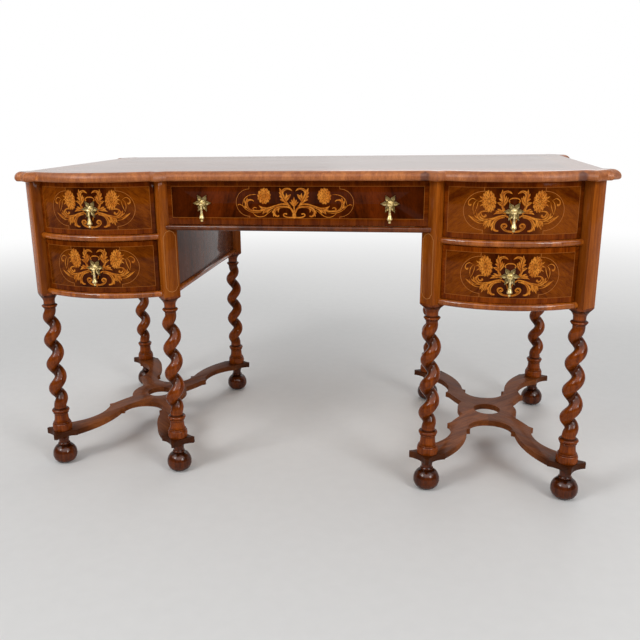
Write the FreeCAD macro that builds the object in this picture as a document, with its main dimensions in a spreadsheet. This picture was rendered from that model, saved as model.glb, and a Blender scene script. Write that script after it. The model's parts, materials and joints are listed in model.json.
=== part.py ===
import FreeCAD, Part
import math
import os
import Sketcher

# A kneehole writing desk on eight barley-twist legs. X runs along the desk, +Y to its back, +Z up.
# The origin is on the floor, in the middle of the desk's length and depth.

doc = FreeCAD.newDocument("desk")
sheet = doc.addObject("Spreadsheet::Sheet", "Sizes")

# Driving dimensions in millimetres, angles in degrees
driving = {
    # the whole desk and its legs' places
    "desk_height": 765,
    "top_thick": 22,
    "outer_leg_x": 637,
    "inner_leg_x": 316,
    "leg_spacing_y": 597,
    # the moulded top: its square caps stand corner-first over the posts
    "cap_half": 57,
    "side_overhang": 35,
    "kneehole_overhang": 34,
    "back_overhang": 40,
    "bow_start": 18.6,
    "top_bow_rise": 36,
    # posts, square in section and set corner-first
    "post_half": 29,
    "case_height": 277.5,
    "panel_thick": 18,
    "panel_housing": 17,
    "rail_housing": 5,
    # rails with a half-round nose
    "rail_height": 15,
    "rail_depth": 45,
    "rail_bow_rise": 36,
    "rail_chord_inset": 20,
    "rail_chord_front": 25,
    "frieze_rail_height": 13,
    "bottom_board_thick": 10,
    "runner_width": 34,
    "guide_height": 20,
    "guide_clearance": 0.6,
    # drawers
    "nose_proud": 7,
    "frieze_face_front": 14,
    "front_thick": 22,
    "frieze_front_thick": 20,
    "front_clearance": 1,
    "front_top_gap": 1.5,
    "bevel_clearance": 1.1,
    "front_edge_inset": 17,
    "drawer_side_thick": 12,
    "drawer_side_clearance": 2,
    "drawer_side_low": 9,
    "drawer_lift": 0.3,
    "glue_line": 0.1,
    "drawer_back_gap": 88,
    "frieze_drawer_back_gap": 108,
    "drawer_bottom_thick": 7,
    "drawer_bottom_up": 6,
    # legs: a square shoulder, a ring, the twist, and a turned foot on the stretcher
    "shoulder_step": 2.5,
    "shoulder_fall": 20,
    "neck_radius": 13.2,
    "upper_ring_radius": 19,
    "upper_ring_drop": 30.5,
    "upper_ring_height": 9.5,
    "twist_top_drop": 42.5,
    "twist_rise": 63,
    "twist_radius": 14.8,
    "twist_throw": 8.8,
    "twist_pitch": 66,
    "twist_fade_height": 41,
    "lower_ring_radius": 22.2,
    "lower_ring_rise": 59,
    "lower_ring_height": 14,
    "ring_neck_radius": 16.4,
    "vase_radius": 18,
    "vase_foot_radius": 20.2,
    "vase_rise": 22,
    "collar_radius": 23.2,
    "collar_height": 5,
    "base_radius": 24.8,
    "base_neck_radius": 23,
    "upper_spigot_radius": 10,
    "upper_spigot_length": 26,
    "lower_spigot_radius": 9,
    "lower_spigot_depth": 26,
    "hole_clearance": 0.2,
    # flat stretchers
    "stretcher_foot": 78,
    "stretcher_thick": 15,
    "stretcher_block_half": 43,
    "hub_hole_radius": 35,
    # ball feet
    "ball_neck_radius": 13.2,
    "ball_flare_height": 13,
    "ball_flare_radius": 19.5,
    "floor_flat_radius": 12,
    # drop pulls
    "frieze_pull_x": 216,
    "petal_reach": 20.5,
    "petal_half_width": 6.4,
    "petal_waist": 7.5,
    "plate_thick": 2,
    "plate_seat": 1,
    "boss_radius": 5.6,
    "boss_height": 3,
    "stud_radius": 2.5,
    "nut_radius": 6,
    "nut_thick": 4,
    "nut_gap": 0.3,
    "eye_drop": 3,
    "eye_forward": 10.4,
    "eye_pin_radius": 1.3,
    "eye_clearance": 0.35,
    "ear_thick": 1.6,
    "ear_gap": 4.6,
    "ear_radius": 2.6,
    "loop_radius": 3.1,
    "loop_thick": 3.8,
    "drop_neck_radius": 1.7,
    "drop_neck_length": 10,
    "pear_radius": 6.2,
    "pear_length": 24,
    "bead_radius": 3,
    # how far each leg's twist is turned about its own axis
    "turn_left_outer_front": -73,
    "turn_left_inner_front": -31,
    "turn_right_inner_front": -37,
    "turn_right_outer_front": -83,
    "turn_left_outer_back": -11,
    "turn_left_inner_back": 64,
    "turn_right_inner_back": 149,
    "turn_right_outer_back": 189,
}


class Size:
    # A length that knows both its formula in the sheet and its number.
    def __init__(self, text, number):
        self.text = text
        self.number = number

    def join(self, sign, other, number):
        return Size("(%s %s %s)" % (self.text, sign, wrap(other).text), number)

    def __add__(self, other):
        return self.join("+", other, self.number + wrap(other).number)

    def __radd__(self, other):
        return wrap(other) + self

    def __sub__(self, other):
        return self.join("-", other, self.number - wrap(other).number)

    def __rsub__(self, other):
        return wrap(other) - self

    def __mul__(self, other):
        return self.join("*", other, self.number * wrap(other).number)

    def __rmul__(self, other):
        return wrap(other) * self

    def __truediv__(self, other):
        return self.join("/", other, self.number / wrap(other).number)

    def __neg__(self):
        return wrap(0) - self


def wrap(value):
    return value if isinstance(value, Size) else Size("(%.12f)" % value, value)


def root(size):
    return Size("sqrt(%s)" % size.text, math.sqrt(size.number))


for line, (alias, value) in enumerate(driving.items(), start=1):
    sheet.set("A%d" % line, alias)
    sheet.set("B%d" % line, str(value))
    sheet.setAlias("B%d" % line, alias)


class Sheet:
    # Every size in the sheet by its name.
    pass


s = Sheet()
for alias, value in driving.items():
    setattr(s, alias, Size("Sizes." + alias, value))


def derive(alias, size):
    # A worked-out size gets a cell of its own beside the driving ones.
    line = len(vars(s)) + 1
    sheet.set("A%d" % line, alias)
    sheet.set("B%d" % line, "=" + size.text.replace("Sizes.", ""))
    sheet.setAlias("B%d" % line, alias)
    named = Size("Sizes." + alias, size.number)
    setattr(s, alias, named)
    return named


def arc_radius(half_chord, rise):
    return (half_chord * half_chord + rise * rise) / (2 * rise)


carcass_top = derive("carcass_top", s.desk_height - s.top_thick)
post_foot = derive("post_foot", carcass_top - s.case_height)
upper_ring_top = derive("upper_ring_top", post_foot - s.upper_ring_drop)
twist_top = derive("twist_top", post_foot - s.twist_top_drop)
middle_rail_share = 0.501
frieze_rail_share = 0.5863
middle_rail_foot = derive("middle_rail_foot", post_foot + s.case_height * middle_rail_share)
frieze_rail_foot = derive("frieze_rail_foot", post_foot + s.case_height * frieze_rail_share)
front_reach = derive("front_reach", s.cap_half - s.bow_start + s.top_bow_rise)
front_y = derive("front_y", (front_reach - s.cap_half - s.leg_spacing_y) / 2)
back_y = derive("back_y", front_y + s.leg_spacing_y)
pedestal_x = derive("pedestal_x", (s.outer_leg_x + s.inner_leg_x) / 2)
pedestal_half = derive("pedestal_half", (s.outer_leg_x - s.inner_leg_x) / 2)
top_bow_radius = derive("top_bow_radius", arc_radius(pedestal_half - s.bow_start, s.top_bow_rise))
top_bow_y = derive("top_bow_y", front_y - front_reach + top_bow_radius)
rail_radius = derive("rail_radius", arc_radius(pedestal_half - s.rail_chord_inset, s.rail_bow_rise))
rail_bow_y = derive("rail_bow_y", front_y - s.rail_chord_front - s.rail_bow_rise + rail_radius)
face_radius = derive("face_radius", rail_radius - s.nose_proud)
half_panel = derive("half_panel", s.panel_thick / 2)
rail_top = derive("rail_top", post_foot + s.rail_height)
middle_rail_top = derive("middle_rail_top", middle_rail_foot + s.rail_height)
frieze_rail_top = derive("frieze_rail_top", frieze_rail_foot + s.frieze_rail_height)
stretcher_top = derive("stretcher_top", s.stretcher_foot + s.stretcher_thick)
twist_foot = derive("twist_foot", stretcher_top + s.twist_rise)
lower_ring_top = derive("lower_ring_top", stretcher_top + s.lower_ring_rise)
vase_foot = derive("vase_foot", stretcher_top + s.vase_rise)
edge_nose_share = 0.27
edge_under_share = 0.7
edge_nose = derive("edge_nose", s.top_thick * edge_nose_share)
edge_over = derive("edge_over", s.top_thick - edge_nose)
edge_under = derive("edge_under", edge_nose * edge_under_share)
ball_share = 0.4
ball_top_share = 0.66
ball_middle_share = 0.48
ball_radius = derive("ball_radius", s.stretcher_foot * ball_share)
ball_top = derive("ball_top", s.stretcher_foot * ball_top_share)
ball_neck_top = derive("ball_neck_top", s.stretcher_foot - s.ball_flare_height)
doc.recompute()

nodes = {}


def node(name, thing):
    # A finished sub-part: its label names its file.
    thing.Label = name
    nodes[name] = thing
    return thing


def bind(thing, **formulas):
    for field, size in formulas.items():
        thing.setExpression(field, wrap(size).text)


def place(thing, x=0, y=0, z=0):
    for direction, size in (("x", x), ("y", y), ("z", z)):
        thing.setExpression("Placement.Base." + direction, wrap(size).text)
    return thing


def tilt(thing, axis, angle):
    thing.Placement = FreeCAD.Placement(FreeCAD.Vector(), FreeCAD.Rotation(FreeCAD.Vector(*axis), angle))
    return thing


UPRIGHT = (0, 0, 1)


def block(name, x, y, z):
    # A plain board between pairs of faces along X, Y and Z.
    thing = doc.addObject("Part::Box", name)
    bind(thing, Length=x[1] - x[0], Width=y[1] - y[0], Height=z[1] - z[0])
    return place(thing, x[0], y[0], z[0])


def rod(name, radius, length, x, y, z, way="z"):
    # A round bar that starts at a point and runs up, along X or along Y.
    thing = doc.addObject("Part::Cylinder", name)
    bind(thing, Radius=radius, Height=length)
    if way == "x":
        tilt(thing, (0, 1, 0), 90)
    if way == "y":
        tilt(thing, (1, 0, 0), -90)
    return place(thing, x, y, z)


def diamond(name, half, height, x, y, z):
    # A square prism set corner-first.
    thing = doc.addObject("Part::Prism", name)
    thing.Polygon = 4
    bind(thing, Circumradius=half, Height=height)
    return place(thing, x, y, z)


def fuse(name, *pieces):
    thing = doc.addObject("Part::MultiFuse", name)
    thing.Shapes = pieces
    thing.Refine = True
    return thing


def common(name, *pieces):
    thing = doc.addObject("Part::MultiCommon", name)
    thing.Shapes = pieces
    return thing


def compound(name, *pieces):
    thing = doc.addObject("Part::Compound", name)
    thing.Links = pieces
    return thing


def cut(name, base, *tools):
    thing = doc.addObject("Part::Cut", name)
    thing.Base = base
    thing.Tool = tools[0] if len(tools) == 1 else compound(name + "_tools", *tools)
    return thing


def copy_of(name, source, x, y, z=0):
    # The same piece once more, at another place.
    return place(compound(name, source), x, y, z)


def point(x, y):
    return FreeCAD.Vector(wrap(x).number, wrap(y).number, 0)


def pin(sketch, edge, vertex, x, y):
    # Ties a point to its two distances from the sketch's origin.
    for kind, axis, size in (("DistanceX", -2, wrap(x)), ("DistanceY", -1, wrap(y))):
        if abs(size.number) < 1e-9:
            sketch.addConstraint(Sketcher.Constraint("PointOnObject", edge, vertex, axis))
        elif size.number > 0:
            index = sketch.addConstraint(Sketcher.Constraint(kind, -1, 1, edge, vertex, size.number))
            sketch.setExpression("Constraints[%d]" % index, size.text)
        else:
            index = sketch.addConstraint(Sketcher.Constraint(kind, edge, vertex, -1, 1, -size.number))
            sketch.setExpression("Constraints[%d]" % index, (-size).text)


def nearest_end(sketch, edge, corner):
    # A clockwise arc is stored the other way round.
    gaps = {vertex: sketch.getPoint(edge, vertex).distanceToPoint(point(*corner)) for vertex in (1, 2)}
    return min(gaps, key=gaps.get)


def draw(sketch, steps):
    # A closed outline. A step is a corner after a straight run, or an arc's middle point and its far corner.
    corners = [step[-1] for step in steps]
    for index, step in enumerate(steps):
        start = corners[index - 1]
        end = step[-1]
        if len(step) == 1:
            edge = sketch.addGeometry(Part.LineSegment(point(*start), point(*end)))
        else:
            middle = sketch.addGeometry(Part.Point(point(*step[0])), True)
            pin(sketch, middle, 1, *step[0])
            edge = sketch.addGeometry(Part.Arc(point(*start), point(*step[0]), point(*end)))
            sketch.addConstraint(Sketcher.Constraint("PointOnObject", middle, 1, edge))
        for corner in (start, end):
            pin(sketch, edge, nearest_end(sketch, edge, corner), *corner)


def body_with_sketch(name, plane, steps):
    body = doc.addObject("PartDesign::Body", name)
    sketch = body.newObject("Sketcher::SketchObject", name + "_outline")
    origin_plane = [item for item in body.Origin.OriginFeatures if item.Role == plane][0]
    sketch.AttachmentSupport = (origin_plane, [""])
    sketch.MapMode = "FlatFace"
    draw(sketch, steps)
    return body, sketch


def padded(name, plane, steps, length):
    body, sketch = body_with_sketch(name, plane, steps)
    pad = body.newObject("PartDesign::Pad", name + "_pad")
    pad.Profile = sketch
    bind(pad, Length=length)
    return body


def turned(name, steps):
    # A profile of radius and height, turned about the upright axis.
    body, sketch = body_with_sketch(name, "XZ_Plane", steps)
    revolution = body.newObject("PartDesign::Revolution", name + "_turning")
    revolution.Profile = sketch
    revolution.ReferenceAxis = (sketch, ["V_Axis"])
    return body


# The legs' places: two ranks of legs in each pedestal, and two ends of each rank
sides = {"left": -1, "right": 1}
ranks = {"outer": s.outer_leg_x, "inner": s.inner_leg_x}
ends = {"front": front_y, "back": back_y}
leg_x = {(side, rank): sign * x for side, sign in sides.items() for rank, x in ranks.items()}


def between(sign, near, far):
    # Two distances from the desk's middle as X places on one side of it, the lesser first.
    return (near, far) if sign > 0 else (-far, -near)


# Moulded top: above its nose the edge is a quarter round, and below it turns under
mid_arc_share = 1 - math.cos(math.radians(45))


def edge_steps(reach):
    # The edge from its foot over the nose to the top, at a distance from the middle.
    return [
        [(reach - edge_under, 0)],
        [(reach - edge_under * mid_arc_share, edge_nose * mid_arc_share), (reach, edge_nose)],
        [(reach - edge_over * mid_arc_share, s.top_thick - edge_over * mid_arc_share),
         (reach - edge_over, s.top_thick)]]


def moulded_bar(name, width, length, turn, x, y):
    # A bar of the top's thickness whose two long edges are moulded.
    half = width / 2
    bar = padded(name, "YZ_Plane", edge_steps(half) + [
        [(-(half - edge_over), s.top_thick)],
        [(-(half - edge_over * mid_arc_share), s.top_thick - edge_over * mid_arc_share),
         (-half, edge_nose)],
        [(-(half - edge_under * mid_arc_share), edge_nose * mid_arc_share),
         (-(half - edge_under), 0)]], length)
    tilt(bar, UPRIGHT, turn)
    run_share = (math.cos(math.radians(turn)), math.sin(math.radians(turn)))
    return place(bar, x - length * run_share[0] / 2, y - length * run_share[1] / 2, carcass_top)


top_width = 2 * (s.outer_leg_x + s.side_overhang)
top_depth = s.leg_spacing_y + s.kneehole_overhang + s.back_overhang
top_middle_y = (front_y - s.kneehole_overhang + back_y + s.back_overhang) / 2
along = moulded_bar("top_along", top_depth, top_width, 0, 0, top_middle_y)
across = moulded_bar("top_across", top_width, top_depth, 90, 0, top_middle_y)
top_pieces = [common("top_field", along, across)]

cap_side = s.cap_half * math.sqrt(2)
rising = moulded_bar("cap_rising", cap_side, cap_side, 45, 0, 0)
falling = moulded_bar("cap_falling", cap_side, cap_side, -45, 0, 0)
cap = common("cap", rising, falling)
for (side, rank), x in leg_x.items():
    top_pieces.append(copy_of("cap_%s_%s_front" % (side, rank), cap, x, front_y))
    if rank == "outer":
        top_pieces.append(copy_of("cap_%s_%s_back" % (side, rank), cap, x, back_y))

for side, sign in sides.items():
    middle = sign * pedestal_x
    disc = turned("top_bow_disc_" + side, [[(0, 0)]] + edge_steps(top_bow_radius) + [[(0, s.top_thick)]])
    place(disc, middle, top_bow_y, carcass_top)
    window = block("top_bow_window_" + side, (middle - pedestal_half, middle + pedestal_half),
                   (front_y - front_reach, front_y + s.kneehole_overhang), (carcass_top, s.desk_height))
    top_pieces.append(common("top_bow_" + side, disc, window))
node("top_panel", fuse("top_panel_whole", *top_pieces))


# Panels, rails and boards of the carcass. What a post houses is collected, to be cut out of it below.
housed = {(side, rank, end): [] for side, rank in leg_x for end in ends}


def house(piece, *keys):
    for key in keys:
        housed[key].append(piece)
    return piece


panel_y = (front_y + s.post_half - s.panel_housing, back_y - s.post_half + s.panel_housing)
for (side, rank), x in leg_x.items():
    name = "side_panel_%s_%s" % (side, rank)
    panel = block(name + "_board", (x - half_panel, x + half_panel), panel_y, (rail_top, carcass_top))
    house(node(name, panel), *[(side, rank, end) for end in ends])

back_panel_y = (back_y - half_panel, back_y + half_panel)
panel_near = s.inner_leg_x + s.post_half - s.panel_housing
panel_far = s.outer_leg_x - s.post_half + s.panel_housing
for side, sign in sides.items():
    panel = block("back_board_" + side, between(sign, panel_near, panel_far), back_panel_y,
                  (rail_top, carcass_top))
    house(node("back_panel_" + side, panel), *[(side, rank, "back") for rank in ranks])

frieze_reach = s.inner_leg_x - s.post_half + s.panel_housing
frieze_board = block("frieze_board", (-frieze_reach, frieze_reach), back_panel_y,
                     (frieze_rail_foot, carcass_top))
house(node("frieze_back", frieze_board), *[(side, "inner", "back") for side in sides])

core_half = s.post_half - s.rail_housing * math.sqrt(2)


def post_cores(name, keys, half, foot, height):
    # What rails go round: the middle of the posts that they are let into.
    return [diamond("%s_core_%s_%s_%s" % (name, *key), half, height, leg_x[key[:2]], ends[key[2]], foot)
            for key in keys]


rail_near = s.inner_leg_x + half_panel
rail_far = s.outer_leg_x - half_panel
rail_back = front_y + s.rail_depth


def rounded_disc(name, radius, height, x, y, z):
    # A disc with a half-round edge.
    nose = height / 2
    core = rod(name + "_core", radius - nose, height, x, y, z)
    rim = doc.addObject("Part::Torus", name + "_rim")
    bind(rim, Radius1=radius - nose, Radius2=nose)
    place(rim, x, y, z + nose)
    return fuse(name, core, rim)


def bowed_rail(name, side, foot):
    # The half-round nose follows the drawers' bow, and the back is straight.
    sign = sides[side]
    disc = rounded_disc(name + "_disc", rail_radius, s.rail_height, sign * pedestal_x, rail_bow_y, foot)
    window = block(name + "_window", between(sign, rail_near, rail_far), (front_y - front_reach, rail_back),
                   (foot, foot + s.rail_height))
    keys = [(side, rank, "front") for rank in ranks]
    rail = cut(name + "_bow", common(name + "_whole", disc, window),
               *post_cores(name, keys, core_half, foot, s.rail_height))
    house(node(name, rail), *keys)


for side in sides:
    bowed_rail("bottom_rail_" + side, side, post_foot)
    bowed_rail("middle_rail_" + side, side, middle_rail_foot)


def nosed_board(name, x, y, foot, height, nose_at):
    # A board with a half-round nose along its face towards nose_at.
    nose = height / 2
    board = block(name + "_board", x, y, (foot, foot + height))
    if nose_at in ("front", "back"):
        edge = y[0] if nose_at == "front" else y[1]
        bead = rod(name + "_nose", nose, x[1] - x[0], x[0], edge, foot + nose, "x")
    else:
        edge = x[0] if nose_at == "left" else x[1]
        bead = rod(name + "_nose", nose, y[1] - y[0], edge, y[0], foot + nose, "y")
    return fuse(name + "_whole", board, bead)


frieze_nose_y = front_y - s.frieze_face_front - s.nose_proud + s.frieze_rail_height / 2
frieze_rail_end = s.inner_leg_x - half_panel
whole = nosed_board("frieze_rail", (-frieze_rail_end, frieze_rail_end), (frieze_nose_y, rail_back),
                    frieze_rail_foot, s.frieze_rail_height, "front")
keys = [(side, "inner", "front") for side in sides]
cores = post_cores("frieze_rail", keys, core_half, frieze_rail_foot, s.frieze_rail_height)
house(node("frieze_rail", cut("frieze_rail_notched", whole, *cores)), *keys)


def bead(name, x, y, keys, nose_at):
    whole = nosed_board(name, x, y, post_foot, s.rail_height, nose_at)
    return house(cut(name, whole, *post_cores(name, keys, core_half, post_foot, s.rail_height)), *keys)


# Below the panels a nosed bead runs round each pedestal's sides and back, and a board closes its bottom.
for side, sign in sides.items():
    beads = []
    for rank in ranks:
        x = leg_x[(side, rank)]
        outward = side if rank == "outer" else {"left": "right", "right": "left"}[side]
        beads.append(bead("bead_%s_%s" % (side, rank), (x - half_panel, x + half_panel), (front_y, back_y),
                          [(side, rank, end) for end in ends], outward))
    keys = [(side, rank, "back") for rank in ranks]
    beads.append(bead("bead_%s_back" % side, between(sign, rail_near, rail_far), back_panel_y, keys, "back"))
    node("base_beads_" + side, compound("base_beads_of_" + side, *beads))

    foot = rail_top - s.bottom_board_thick
    board = block("bottom_%s_whole" % side, between(sign, rail_near, rail_far),
                  (rail_back, back_y - half_panel), (foot, rail_top))
    cores = post_cores("bottom_" + side, keys, s.post_half, foot, s.bottom_board_thick)
    node("bottom_board_" + side, cut("bottom_%s_notched" % side, board, *cores))

# Treads carry the drawers' sides, and guides keep them straight.
runner_y = (rail_back, back_y - s.post_half)
guide_width = s.post_half + s.drawer_side_clearance - half_panel - s.guide_clearance


def runner_board(name, face, way, width, foot, top):
    reach = (face, face + width) if way > 0 else (face - width, face)
    return block(name, reach, runner_y, (foot, top))


def runner(name, face, way, foot, top):
    tread = runner_board(name + "_tread", face, way, s.runner_width, foot, top)
    guide = runner_board(name + "_guide", face, way, guide_width, top, top + s.guide_height)
    return fuse(name, tread, guide)


runners = []
for (side, rank), x in leg_x.items():
    way = -sides[side] if rank == "outer" else sides[side]
    face = x + way * half_panel
    runners.append(runner("middle_runner_%s_%s" % (side, rank), face, way, middle_rail_foot, middle_rail_top))
    runners.append(runner_board("low_guide_%s_%s" % (side, rank), face, way, guide_width, rail_top,
                                rail_top + s.guide_height))
for side, sign in sides.items():
    face = leg_x[(side, "inner")] - sign * half_panel
    runners.append(runner("frieze_runner_" + side, face, -sign, frieze_rail_foot, frieze_rail_top))
node("drawer_runners", compound("drawer_runner_set", *runners))


# Posts: square prisms with housings for what they hold, and a bore for the leg below
for key, pieces in housed.items():
    name = "post_%s_%s_%s" % key
    x = leg_x[key[:2]]
    y = ends[key[2]]
    prism = diamond(name + "_prism", s.post_half, carcass_top - post_foot, x, y, post_foot)
    bore = rod(name + "_bore", s.upper_spigot_radius + s.hole_clearance, s.upper_spigot_length,
               x, y, post_foot)
    node(name, cut(name + "_housed", prism, bore, *pieces))


# Legs


def tangent_arc(start, apex, end):
    # The arc from start to end whose end tangents meet at apex.
    foot = (start + end) / 2
    half = foot.distanceToPoint(start)
    rise = foot.distanceToPoint(apex)
    bulge = half * math.tan(math.atan2(rise, half) / 2)
    return Part.Arc(start, foot + (apex - foot) / rise * bulge, end)


def biarc(start, start_way, end, end_way):
    # Two arcs that leave start and reach end along the given directions.
    span = end - start
    spread = 2 * (1 - start_way.dot(end_way))
    along_ways = span.dot(start_way + end_way)
    reach = (math.sqrt(along_ways ** 2 + spread * span.dot(span)) - along_ways) / spread
    meeting = (start + end + (start_way - end_way) * reach) / 2
    return [tangent_arc(start, start + start_way * reach, meeting),
            tangent_arc(meeting, end - end_way * reach, end)]


def twist_axis(top, foot, throw, pitch, fade):
    # The winding centre line of the twist. Over the fade's height it leaves the leg's axis and returns to it.
    turns = (top - foot) / pitch
    spans_per_turn = 4
    count = round(turns * spans_per_turn)

    def spot(share):
        turn = 2 * math.pi * turns * (1 - share)
        ramp = min(1, (top - foot) * share / fade, (top - foot) * (1 - share) / fade)
        swing = throw * (3 - 2 * ramp) * ramp ** 2
        height = foot + (top - foot) * (1 - share)
        return FreeCAD.Vector(swing * math.cos(turn), swing * math.sin(turn), height)

    def way(share):
        step_share = 1 / (1000 * count)
        return (spot(min(1, share + step_share)) - spot(max(0, share - step_share))).normalize()

    arcs = []
    for number in range(count):
        start = number / count
        end = (number + 1) / count
        start_way = FreeCAD.Vector(0, 0, -1) if number == 0 else way(start)
        end_way = FreeCAD.Vector(0, 0, -1) if number == count - 1 else way(end)
        arcs += biarc(spot(start), start_way, spot(end), end_way)
    edges = [arc.toShape() for arc in arcs]
    print("twist: tightest arc", round(min(edge.Curve.Radius for edge in edges), 2))
    return Part.Wire(edges)


def in_sheet(alias):
    return float(sheet.get(alias))


axis = twist_axis(in_sheet("twist_top"), in_sheet("twist_foot"), in_sheet("twist_throw"),
                  in_sheet("twist_pitch"), in_sheet("twist_fade_height"))
rope_start = FreeCAD.Vector(0, 0, in_sheet("twist_top"))
ring = Part.Circle(rope_start, FreeCAD.Vector(0, 0, 1), in_sheet("twist_radius"))
twist_shape = axis.makePipeShell([Part.Wire(ring.toShape())], True, False)

# The turned plug at each end of the twist stays inside it.
plug_length = s.neck_radius / 2
shoulder_foot = post_foot - s.shoulder_step - s.shoulder_fall
upper_ring_foot = upper_ring_top - s.upper_ring_height
cavetto_share = (0.3, 0.62)
shoulder = turned("leg_shoulder", [
    [(0, twist_top - plug_length)],
    [(s.neck_radius, twist_top - plug_length)],
    [(s.neck_radius, upper_ring_foot)],
    [(s.upper_ring_radius, upper_ring_top - s.upper_ring_height / 2), (s.neck_radius, upper_ring_top)],
    [(s.neck_radius, shoulder_foot)],
    [(s.neck_radius + (s.post_half - s.neck_radius) * cavetto_share[0],
      shoulder_foot + s.shoulder_fall * cavetto_share[1]), (s.post_half, post_foot - s.shoulder_step)],
    [(s.post_half, post_foot)],
    [(s.upper_spigot_radius, post_foot)],
    [(s.upper_spigot_radius, post_foot + s.upper_spigot_length)],
    [(0, post_foot + s.upper_spigot_length)]])
squared = common("leg_squared", shoulder, diamond("leg_square", s.post_half, carcass_top, 0, 0, 0))

lower_ring_foot = lower_ring_top - s.lower_ring_height
collar_foot = vase_foot - s.collar_height
spigot_foot = s.stretcher_foot - s.lower_spigot_depth
vase_share = 0.6
foot_turning = turned("leg_foot", [
    [(0, spigot_foot)],
    [(s.lower_spigot_radius, spigot_foot)],
    [(s.lower_spigot_radius, stretcher_top)],
    [(s.base_neck_radius, stretcher_top)],
    [(s.base_radius, (collar_foot + stretcher_top) / 2), (s.base_neck_radius, collar_foot)],
    [(s.collar_radius, collar_foot + s.collar_height / 2), (s.vase_foot_radius, vase_foot)],
    [(s.vase_radius, vase_foot + (lower_ring_foot - vase_foot) * vase_share),
     (s.vase_radius, lower_ring_foot)],
    [(s.lower_ring_radius, lower_ring_foot + s.lower_ring_height / 2), (s.ring_neck_radius, lower_ring_top)],
    [(s.ring_neck_radius, twist_foot)],
    [(s.neck_radius, twist_foot)],
    [(s.neck_radius, twist_foot + plug_length)],
    [(0, twist_foot + plug_length)]])

for (side, rank), x in leg_x.items():
    for end, y in ends.items():
        name = "%s_%s_%s" % (side, rank, end)
        twist = doc.addObject("Part::Feature", "twist_" + name)
        twist.Shape = twist_shape
        tilt(twist, UPRIGHT, in_sheet("turn_" + name))
        leg = fuse("turned_leg_" + name, squared, twist, foot_turning)
        node("leg_" + name, place(leg, x, y))


# Ball feet, flat where they stand
flare_share = (0.3, 0.7)
ball = turned("ball", [
    [(0, 0)],
    [(s.floor_flat_radius, 0)],
    [(ball_radius, ball_top * ball_middle_share), (s.ball_neck_radius, ball_top)],
    [(s.ball_neck_radius, ball_neck_top)],
    [(s.ball_neck_radius + (s.ball_flare_radius - s.ball_neck_radius) * flare_share[0],
      ball_neck_top + (s.stretcher_foot - ball_neck_top) * flare_share[1]),
     (s.ball_flare_radius, s.stretcher_foot)],
    [(0, s.stretcher_foot)]])
spigot_hole_radius = s.lower_spigot_radius + s.hole_clearance
socket = rod("ball_socket", spigot_hole_radius, s.lower_spigot_depth, 0, 0, spigot_foot)
bored_ball = cut("bored_ball", ball, socket)
for side in sides:
    feet = [copy_of("foot_%s_%s_%s" % (side, rank, end), bored_ball, leg_x[(side, rank)], y)
            for rank in ranks for end, y in ends.items()]
    node("ball_feet_" + side, compound("ball_feet_of_" + side, *feet))


# Stretchers: four shaped arms mitred round an open hub, each point as shares of the hub's distance to a leg
half_y = s.leg_spacing_y / 2
arch_shares = {"apex": (0, 0.281), "crown": (0.206, 0.312), "spring": (0.349, 0.452)}
inner_nib_shares = {"tip": (0.318, 0.476), "end": (0.374, 0.49)}
inner_curve_share = (0.467, 0.744)
outer_curve_share = (0.735, 0.72)
block_tip_share = 0.09
block_side_share = 0.42
outer_nib_shares = {"start": (0.648, 0.402), "tip": (0.68, 0.385), "end": (0.617, 0.355)}
shoulder_share = (0.523, 0.255)
lobe_shares = {"corner": (0.417, 0.157), "crown": (0.471, 0.08), "side": (0.489, 0)}


def at(share):
    return (pedestal_half * share[0], half_y * share[1])


def on_block(share_x, share_y):
    # A place on the block under a leg, as shares of the block's half-width.
    return (pedestal_half + s.stretcher_block_half * share_x, half_y + s.stretcher_block_half * share_y)


arm = padded("stretcher_arm", "XY_Plane", [
    [(0, 0)],
    [at(arch_shares["apex"])],
    [at(arch_shares["crown"]), at(arch_shares["spring"])],
    [at(inner_nib_shares["tip"])],
    [at(inner_nib_shares["end"])],
    [at(inner_curve_share), on_block(-1, 0)],
    [on_block(-1, block_tip_share)],
    [on_block(-block_side_share, block_side_share), on_block(-block_tip_share, 1)],
    [on_block(block_tip_share, 1)],
    [on_block(block_side_share, block_side_share), on_block(1, block_tip_share)],
    [on_block(1, -block_tip_share)],
    [on_block(block_side_share, -block_side_share), on_block(block_tip_share, -1)],
    [on_block(0, -1)],
    [at(outer_curve_share), at(outer_nib_shares["start"])],
    [at(outer_nib_shares["tip"])],
    [at(outer_nib_shares["end"])],
    [at(shoulder_share), at(lobe_shares["corner"])],
    [at(lobe_shares["crown"]), at(lobe_shares["side"])]], s.stretcher_thick)
spigot_hole = rod("arm_spigot_hole", spigot_hole_radius, s.stretcher_thick, pedestal_half, half_y, 0)
hub_hole = rod("arm_hub_hole", s.hub_hole_radius, s.stretcher_thick, 0, 0, 0)
quarter = cut("quarter_arm", arm, spigot_hole, hub_hole)


def mirrored(name, source, normal):
    thing = doc.addObject("Part::Mirroring", name)
    thing.Source = source
    thing.Normal = FreeCAD.Vector(*normal)
    return thing


across_x = mirrored("arm_across_x", quarter, (1, 0, 0))
across_y = mirrored("arm_across_y", quarter, (0, 1, 0))
across_both = mirrored("arm_across_both", across_x, (0, 1, 0))
for side, sign in sides.items():
    arms = compound("stretcher_arms_" + side, quarter, across_x, across_y, across_both)
    node("stretcher_" + side, place(arms, sign * pedestal_x, front_y + half_y, s.stretcher_foot))


# Drop pulls, modelled with the middle of the plate's back at the origin
petal_count = 6
petal_belly_share = 0.62


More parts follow.
